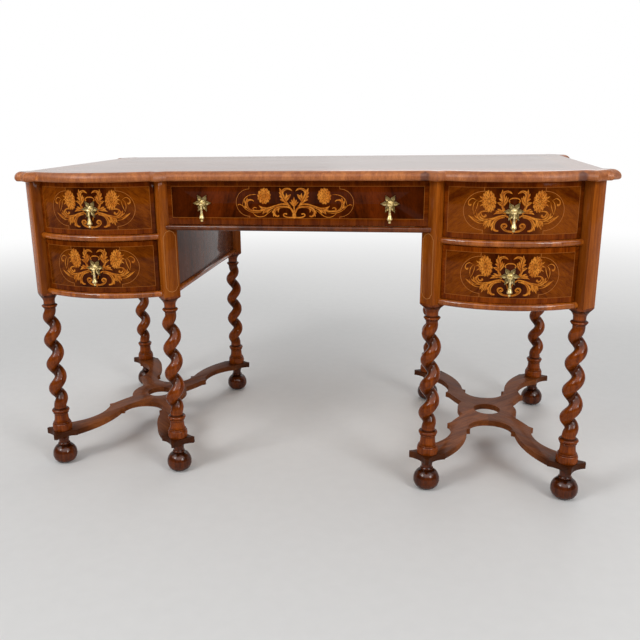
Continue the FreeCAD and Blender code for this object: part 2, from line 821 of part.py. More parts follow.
def petal_plate(name, back):
    # Pointed petals round a waist, behind which the plate reaches back into its seat.
    step = 360 / petal_count
    steps = []
    for petal in range(petal_count):
        turn = math.radians(90 + step * petal)
        next_waist = math.radians(90 + step * (petal + 0.5))
        tip_share = (math.cos(turn), math.sin(turn))
        belly = s.petal_reach * petal_belly_share
        flanks = [(belly * tip_share[0] + sign * s.petal_half_width * tip_share[1],
                   belly * tip_share[1] - sign * s.petal_half_width * tip_share[0]) for sign in (1, -1)]
        steps.append([flanks[0], (s.petal_reach * tip_share[0], s.petal_reach * tip_share[1])])
        waist = (s.petal_waist * math.cos(next_waist), s.petal_waist * math.sin(next_waist))
        steps.append([flanks[1], waist])
    plate = padded(name, "XZ_Plane", steps, s.plate_thick + back)
    return place(plate, 0, back, 0)


def pull_plate(name, plate, wood_thick):
    # The plate with its boss, the two ears and their pin, and the stud that a nut holds inside the drawer.
    ear_near = s.ear_gap / 2
    ear_far = ear_near + s.ear_thick
    boss_length = s.plate_thick + s.boss_height
    boss = rod(name + "_boss", s.boss_radius, boss_length, 0, -boss_length, 0, "y")
    nut_face = wood_thick + s.nut_gap
    stud_length = s.plate_thick + nut_face + s.nut_thick
    stud = rod(name + "_stud", s.stud_radius, stud_length, 0, -s.plate_thick, 0, "y")
    ears = []
    for side, sign in sides.items():
        reach = between(sign, ear_near, ear_far)
        ears.append(block("%s_ear_%s" % (name, side), reach, (-s.eye_forward, -s.plate_thick),
                          (-s.eye_drop - s.ear_radius, s.ear_radius - s.eye_drop)))
        ears.append(rod("%s_knuckle_%s" % (name, side), s.ear_radius, s.ear_thick, reach[0], -s.eye_forward,
                        -s.eye_drop, "x"))
    eye_pin = rod(name + "_pin", s.eye_pin_radius, 2 * ear_far, -ear_far, -s.eye_forward, -s.eye_drop, "x")
    fixed = fuse(name + "_fixed", plate, boss, stud, eye_pin, *ears)
    nut = cut(name + "_nut", rod(name + "_nut_round", s.nut_radius, s.nut_thick, 0, nut_face, 0, "y"),
              rod(name + "_nut_hole", s.stud_radius, s.nut_thick, 0, nut_face, 0, "y"))
    return compound(name, fixed, nut)


seated = cut("bowed_plate", petal_plate("bowed_petals", s.plate_seat),
             rod("plate_seat_form", face_radius, 4 * s.petal_reach, 0, face_radius - s.glue_line,
                 -2 * s.petal_reach))
bowed_pull = pull_plate("bowed_pull", seated, s.front_thick)
flat_pull = pull_plate("flat_pull", petal_plate("flat_petals", 0), s.frieze_front_thick)

eye_hole_radius = s.eye_pin_radius + s.eye_clearance
neck_start = -(s.loop_radius + eye_hole_radius) / 2
pear_top = -s.drop_neck_length
pear_foot = pear_top - s.pear_length
pear_shares = {"shoulder": (0.46, 0.4), "belly": (1, 0.84), "under": (0.72, 0.95)}


def on_pear(share):
    return (s.pear_radius * share[0], pear_top - s.pear_length * share[1])


pear = turned("pear", [
    [(0, neck_start)],
    [(0, pear_foot - s.bead_radius * 2)],
    [(s.bead_radius, pear_foot - s.bead_radius), (s.drop_neck_radius, pear_foot)],
    [on_pear(pear_shares["under"]), on_pear(pear_shares["belly"])],
    [on_pear(pear_shares["shoulder"]), (s.drop_neck_radius, pear_top)],
    [(s.drop_neck_radius, neck_start)]])
half_loop = s.loop_thick / 2
loop = cut("loop", rod("loop_round", s.loop_radius, s.loop_thick, -half_loop, 0, 0, "x"),
           rod("loop_hole", eye_hole_radius, s.loop_thick, -half_loop, 0, 0, "x"))
drop = fuse("drop", pear, loop)


def stud_hole(name, x, z):
    return rod(name, s.stud_radius + s.hole_clearance, front_reach + s.post_half,
               x, front_y - front_reach, z, "y")


def hang_pull(name, x, face, z, pull):
    # The drop hangs on the pin of its plate.
    node("pull_drop_" + name, copy_of("drop_" + name, drop, x, face - s.eye_forward, z - s.eye_drop))
    return copy_of("plate_" + name, pull, x, face, z)


# Drawers


def drawer_box(name, x, half_width, y, foot, top, *cutters):
    # Two sides, a back and a raised bottom, all ending against the front.
    inside = half_width - s.drawer_side_thick
    low = foot + s.drawer_bottom_up
    back = y[1] - s.drawer_side_thick
    boards = [block(name + "_left", (x - half_width, x - inside), y, (foot, top)),
              block(name + "_right", (x + inside, x + half_width), y, (foot, top)),
              block(name + "_bottom", (x - inside, x + inside), (y[0], back),
                    (low, low + s.drawer_bottom_thick))]
    if cutters:
        boards = [cut("%s_scribed_%d" % (name, number), board, *cutters)
                  for number, board in enumerate(boards, start=1)]
    boards.append(block(name + "_back", (x - inside, x + inside), (back, y[1]), (foot, top)))
    return compound(name, *boards)


front_zone_y = (front_y - front_reach, front_y + s.post_half)
hollow_radius = face_radius - s.front_thick
front_half = pedestal_half - s.front_edge_inset
pedestal_box_half = pedestal_half - s.post_half - s.drawer_side_clearance
levels = {"upper": (middle_rail_top, carcass_top), "lower": (rail_top, middle_rail_foot)}
for side, sign in sides.items():
    for level, (under, over) in levels.items():
        name = "%s_%s" % (side, level)
        x = sign * pedestal_x
        foot = under + s.front_clearance
        top = over - s.front_top_gap
        pull_z = (foot + top) / 2
        # The bowed front is a curved plank whose ends are bevelled along the posts.
        outside = rod("face_" + name, face_radius, top - foot, x, rail_bow_y, foot)
        inside = rod("inside_" + name, hollow_radius, top - foot, x, rail_bow_y, foot)
        window = block("window_" + name, (x - front_half, x + front_half), front_zone_y, (foot, top))
        plank = common("plank_" + name, outside, window)
        keys = [(side, rank, "front") for rank in ranks]
        cores = post_cores("bevel_" + name, keys, s.post_half + s.bevel_clearance, foot, top - foot)
        hole = stud_hole("stud_hole_" + name, x, pull_z)
        node("drawer_front_" + name, cut("front_" + name, plank, inside, hole, *cores))
        # The box behind it is scribed to the front's hollow back.
        box_foot = under + s.drawer_lift
        box_top = top - s.drawer_side_low
        ahead = block("ahead_" + name, (x - pedestal_half, x + pedestal_half), front_zone_y,
                      (box_foot, box_top))
        behind = rod("behind_" + name, hollow_radius - s.glue_line, box_top - box_foot,
                     x, rail_bow_y, box_foot)
        waste = cut("waste_" + name, ahead, behind)
        box_y = (front_y - front_reach, back_y - half_panel - s.drawer_back_gap)
        box = drawer_box("box_" + name, x, pedestal_box_half, box_y, box_foot, box_top, waste)
        node("drawer_box_" + name, box)
        node("pull_plate_" + name, hang_pull(name, x, rail_bow_y - face_radius, pull_z, bowed_pull))

# The frieze drawer is straight, and has two pulls.
foot = frieze_rail_top + s.front_clearance
top = carcass_top - s.front_top_gap
narrow = s.inner_leg_x - s.post_half - s.bevel_clearance
wide = narrow + s.frieze_face_front
face = -s.frieze_face_front
plank = padded("frieze_plank", "XY_Plane", [
    [(-wide, face)],
    [(wide, face)],
    [(narrow, 0)],
    [(narrow, face + s.frieze_front_thick)],
    [(-narrow, face + s.frieze_front_thick)],
    [(-narrow, 0)]], top - foot)
place(plank, 0, front_y, foot)
pull_z = (foot + top) / 2
pull_x = {side: sign * s.frieze_pull_x for side, sign in sides.items()}
holes = [stud_hole("frieze_stud_hole_" + side, x, pull_z) for side, x in pull_x.items()]
node("drawer_front_frieze", cut("front_frieze", plank, *holes))
frieze_half = s.inner_leg_x - s.post_half - s.drawer_side_clearance
box_y = (front_y + face + s.frieze_front_thick, back_y - half_panel - s.frieze_drawer_back_gap)
node("drawer_box_frieze", drawer_box("box_frieze", 0, frieze_half, box_y, frieze_rail_top + s.drawer_lift,
                                     top - s.drawer_side_low))
plates = [hang_pull("frieze_" + side, x, front_y + face, pull_z, flat_pull) for side, x in pull_x.items()]
node("pull_plates_frieze", compound("plates_frieze", *plates))


# Checks and files
doc.recompute()
for thing in doc.Objects:
    if "Invalid" in thing.State or "Error" in thing.State:
        raise RuntimeError("%s failed: %s" % (thing.Label, thing.State))
for name, thing in nodes.items():
    if thing.Shape.isNull() or not thing.Shape.isValid() or not thing.Shape.Solids:
        raise RuntimeError("%s has no valid solid" % name)
os.makedirs("parts", exist_ok=True)
for name, thing in nodes.items():
    thing.Shape.exportStep("parts/%s.step" % name)
whole = Part.makeCompound([thing.Shape for thing in nodes.values()])
box = whole.optimalBoundingBox(False)
print("nodes", len(nodes), "solids", len(whole.Solids))
print("box", [round(value, 2) for value in (box.XMin, box.YMin, box.ZMin, box.XMax, box.YMax, box.ZMax)])
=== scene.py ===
import json
import math

import bmesh
import bpy
from mathutils import Matrix, Vector


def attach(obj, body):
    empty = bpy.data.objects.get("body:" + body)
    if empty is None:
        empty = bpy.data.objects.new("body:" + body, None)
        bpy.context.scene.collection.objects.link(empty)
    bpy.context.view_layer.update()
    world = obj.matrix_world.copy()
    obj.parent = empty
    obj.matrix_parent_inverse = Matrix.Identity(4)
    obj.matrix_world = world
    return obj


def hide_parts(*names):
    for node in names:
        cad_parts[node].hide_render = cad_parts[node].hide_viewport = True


# Kneehole desk on barley-twist legs. Metres: X runs along the desk, +Y to its back, the floor is at Z 0.

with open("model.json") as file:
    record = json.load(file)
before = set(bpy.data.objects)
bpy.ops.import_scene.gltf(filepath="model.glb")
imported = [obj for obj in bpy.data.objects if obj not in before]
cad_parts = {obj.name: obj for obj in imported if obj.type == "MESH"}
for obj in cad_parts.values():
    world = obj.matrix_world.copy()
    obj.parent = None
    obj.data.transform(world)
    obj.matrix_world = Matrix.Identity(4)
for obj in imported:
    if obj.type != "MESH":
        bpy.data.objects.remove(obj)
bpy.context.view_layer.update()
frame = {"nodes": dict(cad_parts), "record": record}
scene = bpy.context.scene
nodeBody = {node: body for body, nodes in frame["record"]["behaviour"]["bodies"].items() for node in nodes}

# The desk's main places, in millimetres
desk = {
    "height": 765, "outerX": 637, "innerX": 316, "pedestalX": 476.5, "frontY": -289.8, "backY": 307.2, "postHalf": 29,
    "bowY": -58.63, "faceRadius": 285.17, "frontThick": 22, "upperZ": 681, "lowerZ": 542.26,
    "friezeFaceY": -303.8, "friezeFrontThick": 20, "friezeZ": 691.85,
}
sides = {"left": -1, "right": 1}
mm = 0.001


# ---- Small helpers

def tone(red, green, blue):
    # A colour as the photo shows it, turned into the linear values that shaders take.
    def linear(value):
        share = value / 255
        return share / 12.92 if share <= 0.04045 else ((share + 0.055) / 1.055) ** 2.4
    return (linear(red), linear(green), linear(blue), 1)


def camel(name):
    first, *others = name.split("_")
    return first + "".join(word.capitalize() for word in others)


def newPiece(name, mesh, body, materials, replaced=()):
    piece = bpy.data.objects.new(name, mesh)
    scene.collection.objects.link(piece)
    for material in materials:
        mesh.materials.append(material)
    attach(piece, body)
    if replaced:
        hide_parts(*replaced)


def standIn(node, mesh, material):
    # The piece that takes a node's place.
    newPiece(camel(node), mesh, nodeBody[node], [material], [node])


def bakedMesh(source):
    # The mesh with its modifiers done.
    bpy.context.view_layer.update()
    graph = bpy.context.evaluated_depsgraph_get()
    return bpy.data.meshes.new_from_object(source.evaluated_get(graph), depsgraph=graph)


def smoothByAngle(mesh, degrees):
    work = bmesh.new()
    work.from_mesh(mesh)
    for face in work.faces:
        face.smooth = True
    for edge in work.edges:
        edge.smooth = len(edge.link_faces) == 2 and edge.calc_face_angle(0) < math.radians(degrees)
    work.to_mesh(mesh)
    work.free()


def meshOf(work, name, degrees=None):
    mesh = bpy.data.meshes.new(name)
    work.to_mesh(mesh)
    work.free()
    if degrees:
        smoothByAngle(mesh, degrees)
    return mesh


def merge(work, part):
    # Adds one mesh in the making to another.
    held = meshOf(part, "held")
    work.from_mesh(held)
    bpy.data.meshes.remove(held)


class Wire:
    # An output socket that can be used in sums.
    def __init__(self, bench, socket):
        self.bench = bench
        self.socket = socket

    def __add__(self, other):
        return self.bench.sum("ADD", self, other)

    def __radd__(self, other):
        return self.bench.sum("ADD", other, self)

    def __sub__(self, other):
        return self.bench.sum("SUBTRACT", self, other)

    def __rsub__(self, other):
        return self.bench.sum("SUBTRACT", other, self)

    def __mul__(self, other):
        return self.bench.sum("MULTIPLY", self, other)

    def __rmul__(self, other):
        return self.bench.sum("MULTIPLY", other, self)

    def __truediv__(self, other):
        return self.bench.sum("DIVIDE", self, other)

    def __pow__(self, other):
        return self.bench.sum("POWER", self, other)

    def __lt__(self, other):
        return self.bench.sum("LESS_THAN", self, other)

    def __gt__(self, other):
        return self.bench.sum("GREATER_THAN", self, other)

    def __abs__(self):
        return self.bench.sum("ABSOLUTE", self)


class Bench:
    # Builds a node tree, for a material or for geometry.
    def __init__(self, tree):
        self.tree = tree

    def node(self, kind, values=None, settings=None):
        made = self.tree.nodes.new(kind)
        for key, value in (settings or {}).items():
            setattr(made, key, value)
        for key, value in (values or {}).items():
            if isinstance(value, Wire):
                self.tree.links.new(value.socket, made.inputs[key])
            else:
                made.inputs[key].default_value = value
        return made

    def wire(self, kind, values=None, settings=None, output=0):
        return Wire(self, self.node(kind, values, settings).outputs[output])

    def sum(self, operation, *values):
        return self.wire("ShaderNodeMath", dict(enumerate(values)), {"operation": operation})

    def most(self, first, second):
        return self.sum("MAXIMUM", first, second)

    def least(self, first, second):
        return self.sum("MINIMUM", first, second)

    def spread(self, value, low, high):
        # 0 below low, 1 above high, and smooth between them.
        return self.wire("ShaderNodeMapRange", {"Value": value, "From Min": low, "From Max": high},
                         {"interpolation_type": "SMOOTHSTEP"})

    def mix(self, share, first, second):
        return self.wire("ShaderNodeMix", {0: share, 6: first, 7: second}, {"data_type": "RGBA"}, 2)

    def noise(self, vector, scale, detail=3, roughness=0.5, distortion=0):
        return self.wire("ShaderNodeTexNoise", {
            "Vector": vector, "Scale": scale, "Detail": detail, "Roughness": roughness, "Distortion": distortion})

    def shuffled(self, number):
        # A share of its own for each whole number.
        return self.wire("ShaderNodeTexWhiteNoise", {"W": self.sum("FLOOR", number)}, {"noise_dimensions": "1D"})

    def place(self):
        return self.wire("ShaderNodeTexCoord", output="Object")

    def axes(self, vector):
        parts = self.node("ShaderNodeSeparateXYZ", {0: vector})
        return [Wire(self, parts.outputs[axis]) for axis in "XYZ"]

    def point(self, x, y, z):
        return self.wire("ShaderNodeCombineXYZ", {"X": x, "Y": y, "Z": z})

    def mapped(self, vector, way, value):
        return self.wire("ShaderNodeMapping", {"Vector": vector, way: value})

    def painted(self, name):
        # What the mesh holds under a name, as a share.
        return self.wire("ShaderNodeAttribute", None, {"attribute_name": name}, 2)


def newMaterial(name):
    material = bpy.data.materials.new(name)
    material.use_nodes = True
    material.node_tree.nodes.clear()
    return material, Bench(material.node_tree)


def finishMaterial(bench, colour, roughness, height, bump, coat=None, metallic=0):
    # Bump is its strength and reach, coat its weight and roughness and the specular level below it.
    strength, reach = bump
    relief = bench.wire("ShaderNodeBump", {"Strength": strength, "Distance": reach, "Height": height})
    values = {"Base Color": colour, "Roughness": roughness, "Normal": relief, "Metallic": metallic}
    if coat:
        values.update(zip(("Coat Weight", "Coat Roughness", "Specular IOR Level"), coat))
    surface = bench.wire("ShaderNodeBsdfPrincipled", values)
    bench.node("ShaderNodeOutputMaterial", {"Surface": surface})


# ---- Finishes

# What a wood has where its own look says nothing else. Stretches lengthen the figure and the pores along the grain.
grain = {
    "stretch": (1, 1, 0.06), "poreStretch": (1, 1, 0.03), "pores": 1600, "poreDark": 0.35, "poreEdge": (0.38, 0.5),
    "cloudShare": 0.6, "streaks": 5, "contrast": (0.32, 0.68), "figureRelief": 0.3, "bump": 0.15, "roughness": 0.2,
    "unevenness": 0.12, "smears": 60, "coat": 0.14, "coatRoughness": 0.07, "specular": 0.02,
}
quarterTurn = math.radians(90)


def veneer(dark, light, pore, figure, **rest):
    return {"dark": tone(*dark), "light": tone(*light), "pore": tone(*pore), "figure": figure, **rest}


def woodTone(bench, place, look):
    # Grain runs along Z of the place given: streaks, slow figure, pores. Gives a colour and a height.
    look = {**grain, **look}
    stretched = bench.mapped(place, "Scale", look["stretch"])
    clouds = bench.noise(stretched, look["figure"], 4, 0.55, 0.6)
    streaks = bench.noise(stretched, look["figure"] * look["streaks"], 5, 0.65, 0.2)
    pores = bench.noise(bench.mapped(place, "Scale", look["poreStretch"]), look["pores"], 2, 0.6)
    share = bench.spread(clouds * look["cloudShare"] + streaks * (1 - look["cloudShare"]), *look["contrast"])
    colour = bench.mix(share, look["dark"], look["light"])
    poreMask = bench.spread(pores, *look["poreEdge"])
    colour = bench.mix((1 - poreMask) * look["poreDark"], colour, look["pore"])
    return colour, share * look["figureRelief"] + poreMask * (1 - look["figureRelief"])


def plainWood(name, look):
    material, bench = newMaterial(name)
    look = {**grain, **look}
    place = bench.place()
    x, y, z = bench.axes(place)
    if "turn" in look:  # turns the grain from upright to lie along Y
        place = bench.mapped(place, "Rotation", look["turn"])
    colour, height = woodTone(bench, place, look)
    if "segment" in look:  # cross-grain strips laid end to end
        strip = bench.shuffled((x + y) / look["segment"])
        colour = bench.mix(strip * look["stripDark"], colour, look["pore"])
    if "arris" in look:  # painted shade: the faces of a post turned towards its pedestal or the kneehole are darker
        away = abs(x) / mm
        shadedFaces = (away < desk["innerX"]) * look["kneehole"] + (away > desk["pedestalX"]) * (away < desk["outerX"])
        colour = bench.mix(shadedFaces * look["arris"], colour, look["pore"])
    if "hollow" in look:  # painted shade, darker in the recesses
        colour = bench.mix(bench.painted("hollow") * look["hollow"], colour, look["pore"])
    rough = bench.noise(place, look["smears"], 2) * look["unevenness"] + look["roughness"]
    finishMaterial(bench, colour, rough, height, (look["bump"], 0.2 * mm),
                   (look["coat"], look["coatRoughness"], look["specular"]))
    return material


# The top, in metres: the crossband's inner line, the painted shade at the concave mitres of its front edge, and its
# finishes
top = {
    "band": (0.6, 0.264), "bandMiddleY": 0.012, "line": 0.0012, "bandStart": 0.0016, "lineTone": tone(196, 134, 76),
    "field": veneer((104, 48, 14), (156, 86, 34), (70, 30, 8), 11),
    "edge": veneer((140, 72, 26), (196, 118, 58), (96, 44, 14), 70, stretch=(1, 1, 0.3)),
    "strip": 0.07, "stripTone": tone(110, 52, 20), "stripDark": 0.3,
    "joints": (0.29, 0.61), "jointY": -0.26, "jointTop": 0.758, "jointEdge": (0.006, 0.013), "jointDark": 0.7,
    "jointTone": tone(66, 36, 34),
    "coat": 0.6, "edgeCoat": 0.1, "coatRoughness": 0.16, "specular": 0.4, "roughness": 0.4, "polished": 0.28,
    "smears": 9, "unevenness": 0.1, "relief": (0.02, 0.1 * mm), "flatDepth": 0.6, "skew": 1.3,
}


def topMaterial():
    # The field's grain runs along the desk inside a crossband; the moulded edge is cross-grained.
    material, bench = newMaterial("topVeneer")
    place = bench.place()
    x, y, z = bench.axes(place)
    lying = bench.mapped(place, "Rotation", (0, quarterTurn, 0))
    field, height = woodTone(bench, lying, top["field"])
    edge = woodTone(bench, place, top["edge"])[0]
    strip = bench.shuffled((x * top["skew"] + y) / top["strip"])
    edge = bench.mix(strip * top["stripDark"], edge, top["stripTone"])
    # painted shade on the front edge at the concave mitres beside the posts, fading away from them
    left, right = top["joints"]
    fromShadedMitre = bench.least(abs(x - left), abs(x - right)) + bench.most(y - top["jointY"], 0)
    fromShadedMitre = fromShadedMitre + bench.most(z - top["jointTop"], 0) * 2
    edge = bench.mix((1 - bench.spread(fromShadedMitre, *top["jointEdge"])) * top["jointDark"], edge, top["jointTone"])
    halfLong, halfDeep = top["band"]
    border = bench.most(abs(x) - halfLong, abs(y - top["bandMiddleY"]) - halfDeep)
    field = bench.mix(border > top["bandStart"], field, edge)
    field = bench.mix(abs(border) < top["line"], field, top["lineTone"])
    flat = z > (desk["height"] - top["flatDepth"]) * mm
    colour = bench.mix(flat, edge, field)
    rough = bench.noise(place, top["smears"], 3) * top["unevenness"] + top["roughness"] - flat * top["polished"]
    finishMaterial(bench, colour, rough, height, top["relief"],
                   (flat * top["coat"] + top["edgeCoat"], top["coatRoughness"], top["specular"]))
    return material


stretcher = {
    "veneer": veneer((96, 47, 18), (156, 88, 40), (58, 25, 10), 24, stretch=(1, 1, 0.12)), "quarterDark": 0.6,
    "armShift": 0.4, "ends": (0.25, 0.31), "endDark": 0.8, "endTone": tone(44, 18, 7), "roughness": 0.4,
    "coat": (0.16, 0.22, 0.02),
}


def stretcherMaterial():
    # Each arm is its own piece of veneer, with the grain along it; the joints cross in the ring.
    material, bench = newMaterial("stretcherVeneer")
    x, y, z = bench.axes(bench.place())
    fromX = abs(x) - desk["pedestalX"] * mm
    fromY = y - (desk["frontY"] + desk["backY"]) / 2 * mm
    arm = (fromX > 0) + (fromY > 0) * 2 + (x > 0) * 4
    place = bench.point(abs(fromX) - abs(fromY) + arm * stretcher["armShift"], z, abs(fromX) + abs(fromY))
    look = stretcher["veneer"]
    colour, height = woodTone(bench, place, look)
    colour = bench.mix(bench.shuffled(arm) * stretcher["quarterDark"], colour, look["pore"])
    ends = bench.spread(abs(fromY), *stretcher["ends"]) * stretcher["endDark"]
    colour = bench.mix(ends, colour, stretcher["endTone"])
    rough = bench.noise(place, grain["smears"], 2) * grain["unevenness"] + stretcher["roughness"]
    finishMaterial(bench, colour, rough, height, (0.1, 0.2 * mm), stretcher["coat"])
    return material


finishes = {
    "postVeneer": veneer((124, 57, 8), (178, 96, 26), (72, 28, 4), 34, arris=0.45, kneehole=0.35),
    "sideVeneer": veneer((70, 34, 16), (112, 58, 28), (44, 20, 9), 18, coat=0.36),
    "railWalnut": veneer((128, 60, 10), (190, 104, 30), (84, 34, 6), 60, segment=0.055, stripDark=0.45, coat=0.8),
    # a darker copy of railWalnut for the frieze rail: painted shade
    "friezeWalnut": veneer((74, 31, 8), (126, 62, 18), (50, 19, 4), 60, segment=0.055, stripDark=0.45, coat=0.5),
    "turnedWalnut": veneer((92, 36, 5), (148, 70, 16), (34, 9, 1), 55, hollow=0.75, coat=0.32, roughness=0.16),
    "footWalnut": veneer((52, 18, 4), (104, 46, 12), (24, 7, 1), 50, hollow=0.8, coat=0.5),
    "pine": veneer((176, 138, 92), (208, 174, 126), (140, 100, 60), 16, turn=(quarterTurn, 0, 0), coat=0,
                   roughness=0.5),
}
woods = {"topVeneer": topMaterial(), "stretcherVeneer": stretcherMaterial()}
woods.update({name: plainWood(name, look) for name, look in finishes.items()})
print("finishes made:", len(woods))


# ---- Boards, panels and rails: the solids with their edges eased

easing = {"width": 0.5 * mm, "segments": 2, "angle": 28, "smoothAngle": 32, "weld": 0.002 * mm, "flatAngle": 0.4}


def easedCopy(name):
    work = bmesh.new()
    work.from_mesh(frame["nodes"][name].data)
    bmesh.ops.remove_doubles(work, verts=work.verts, dist=easing["weld"])
    bmesh.ops.dissolve_limit(work, angle_limit=math.radians(easing["flatAngle"]), verts=work.verts, edges=work.edges)
    holder = bpy.data.objects.new("holder", meshOf(work, name))
    scene.collection.objects.link(holder)
    bevel = holder.modifiers.new("ease", "BEVEL")
    bevel.width = easing["width"]
    bevel.segments = easing["segments"]
    bevel.limit_method = "ANGLE"
    bevel.angle_limit = math.radians(easing["angle"])
    bevel.use_clamp_overlap = True
    done = bakedMesh(holder)
    bpy.data.objects.remove(holder)
    smoothByAngle(done, easing["smoothAngle"])
    return done


finishOf = {"top_panel": "topVeneer", "post_": "postVeneer", "side_panel": "sideVeneer", "back_panel": "sideVeneer",
            "frieze_back": "sideVeneer", "bottom_rail": "railWalnut", "middle_rail": "railWalnut",
            "frieze_rail": "friezeWalnut", "base_beads": "railWalnut", "stretcher": "stretcherVeneer",
            "bottom_board": "pine", "drawer_runners": "pine", "drawer_box": "pine"}
for node in frame["nodes"]:
    for start, finish in finishOf.items():
        if node.startswith(start):
            standIn(node, easedCopy(node), woods[finish])
print("boards eased")


# ---- Turned work

pointed = 1e-6  # a radius below this, in millimetres, is a point on the axis


def skin(work, rings):
    # Faces from each ring of points to the next. A ring of one point is a tip.
    faces = []
    for lower, upper in zip(rings, rings[1:]):
        count = max(len(lower), len(upper))
        for number in range(count):
            after = (number + 1) % count
            corners = [lower[number % len(lower)], lower[after % len(lower)], upper[after % len(upper)],
                       upper[number % len(upper)]]
            unique = list(dict.fromkeys(corners))
            if len(unique) > 2:
                faces.append(work.faces.new(unique))
    return faces


def latheMesh(profile, place=(0, 0), sidesAround=56, square=None, dark=None):
    # Turns a profile of (radius, height) in millimetres about an upright axis. Square clips it corner-first.
    work = bmesh.new()
    hollow = work.verts.layers.float.new("hollow")
    rings = []
    for radius, height in profile:
        ring = []
        # the painted shade of this ring, deeper in the grooves
        stain = dark(radius, height) if dark else 0
        for number in range(1 if radius < pointed else sidesAround):
            angle = 2 * math.pi * number / sidesAround
            reach = radius
            if square:
                reach = min(radius, square / (abs(math.cos(angle)) + abs(math.sin(angle))))
            spot = (place[0] + reach * math.cos(angle), place[1] + reach * math.sin(angle), height)
            ring.append(work.verts.new([value * mm for value in spot]))
            ring[-1][hollow] = stain
        rings.append(ring)
    skin(work, rings)
    bmesh.ops.recalc_face_normals(work, faces=work.faces)
    return work


def curveThrough(points, stepsPerSpan=6):
    # A smooth line through listed points; a point given twice makes a corner.
    runs = [[points[0]]]
    for point in points[1:]:
        if point == runs[-1][-1]:
            runs.append([point])
        else:
            runs[-1].append(point)
    line = []
    for run in runs:
        for number in range(len(run) - 1):
            before = run[number - 1] if number else run[number]
            start = run[number]
            end = run[number + 1]
            after = run[number + 2] if number + 2 < len(run) else end
            for step in range(stepsPerSpan):
                share = step / stepsPerSpan
                line.append(tuple(0.5 * (2 * b + (c - a) * share + (2 * a - 5 * b + 4 * c - d) * share ** 2
                                         + (3 * b - a - 3 * c + d) * share ** 3)
                                  for a, b, c, d in zip(before, start, end, after)))
        line.append(run[-1])
    return line


# Profiles from the post down, as (radius, height) in millimetres. A doubled point is a crisp corner. The rope's sizes
# are its tree's inputs; the painted shade in its grooves ends between two distances from the axis, in metres.
leg = {
    "shoulder": [(0, 466), (29, 466), (29, 466), (29, 463.2), (29, 463.2), (27.8, 461.6), (27.8, 461.6), (21.2, 457),
        (16.6, 450.5), (14.4, 445), (14.1, 440), (14.2, 435.4), (14.2, 435.4), (15.4, 434.8), (15.4, 434.8),
        (18.2, 433.2), (19.4, 431.2), (18.4, 429.4), (16.2, 428.2), (16.2, 428.2), (16.9, 427.3), (16.2, 426.2),
        (16.2, 426.2), (14.2, 425.4), (14.2, 425.4), (13.6, 421), (10, 412), (0, 405)],
    "foot": [(0, 176), (10, 173), (14.2, 166), (15.8, 158), (16, 152.8), (16, 152.8), (18.4, 152.2), (18.4, 152.2),
        (21.4, 150), (22.4, 147.2), (21.2, 144.4), (18.6, 142.6), (18.6, 142.6), (19.8, 141.4), (19.6, 139.8),
        (18.4, 139), (18.4, 139), (17.6, 137.4), (17.6, 131), (18.2, 123.5), (20.2, 115.8), (20.2, 115.8),
        (21.8, 115.2), (22.2, 113.8), (21.6, 112.4), (21.6, 112.4), (22.9, 111.8), (22.9, 111.8), (24.2, 109.6),
        (24.8, 104), (24.7, 97), (23.6, 93), (23.6, 93), (0, 93)],
    "rope": {"Foot": 156, "Top": 423, "Pitch": 66, "Throw": 8.8, "Fade": 34, "Rope Foot": 15.6, "Rope Top": 14},
    "stained": (0.008, 0.02), "sides": 64, "stepsPerSpan": 4, "smooth": 34,
    "turns": {"left_outer_front": -73, "left_inner_front": -31, "right_inner_front": -37, "right_outer_front": -83,
              "left_outer_back": -11, "left_inner_back": 64, "right_inner_back": 149, "right_outer_back": 189},
}
ball = [(0, 0), (12, 0), (12, 0), (19.4, 2.2), (26.6, 8), (30.6, 16.6), (31.2, 24.8), (29.8, 33.4),
        (25, 42.4), (18.4, 48.4), (14.4, 50.8), (14.4, 50.8), (15.7, 52), (15.6, 53.8), (14.2, 55),
        (14.2, 55), (13.2, 57), (13.3, 63), (14.8, 69.6), (19.4, 77.8), (19.4, 77.8), (19.4, 78), (0, 78)]


def newTree(name, sizes):
    # A tree for geometry, with its sizes as inputs, in metres and degrees.
    tree = bpy.data.node_groups.new(name, "GeometryNodeTree")
    face = tree.interface
    face.new_socket("Geometry", in_out="OUTPUT", socket_type="NodeSocketGeometry")
    for key, value in sizes.items():
        kind = "NodeSocketInt" if isinstance(value, int) else "NodeSocketFloat"
        face.new_socket(key, in_out="INPUT", socket_type=kind).default_value = value
    bench = Bench(tree)
    entry = bench.node("NodeGroupInput")
    return tree, bench, {key: Wire(bench, entry.outputs[key]) for key in sizes}


def closeTree(bench, geometry, offset, material):
    # The grown shape in its place, with its material.
    for kind, values in (("RealizeInstances", {}), ("SetPosition", {"Offset": offset}), ("SetShadeSmooth", {}),
                         ("SetMaterial", {"Material": material})):
        geometry = bench.wire("GeometryNode" + kind, {"Geometry": geometry, **values})
    bench.node("NodeGroupOutput", {"Geometry": geometry})


def stained(bench, geometry, share):
    return bench.wire("GeometryNodeStoreNamedAttribute", {"Geometry": geometry, "Name": "hollow", "Value": share},
                      {"data_type": "FLOAT", "domain": "POINT"})


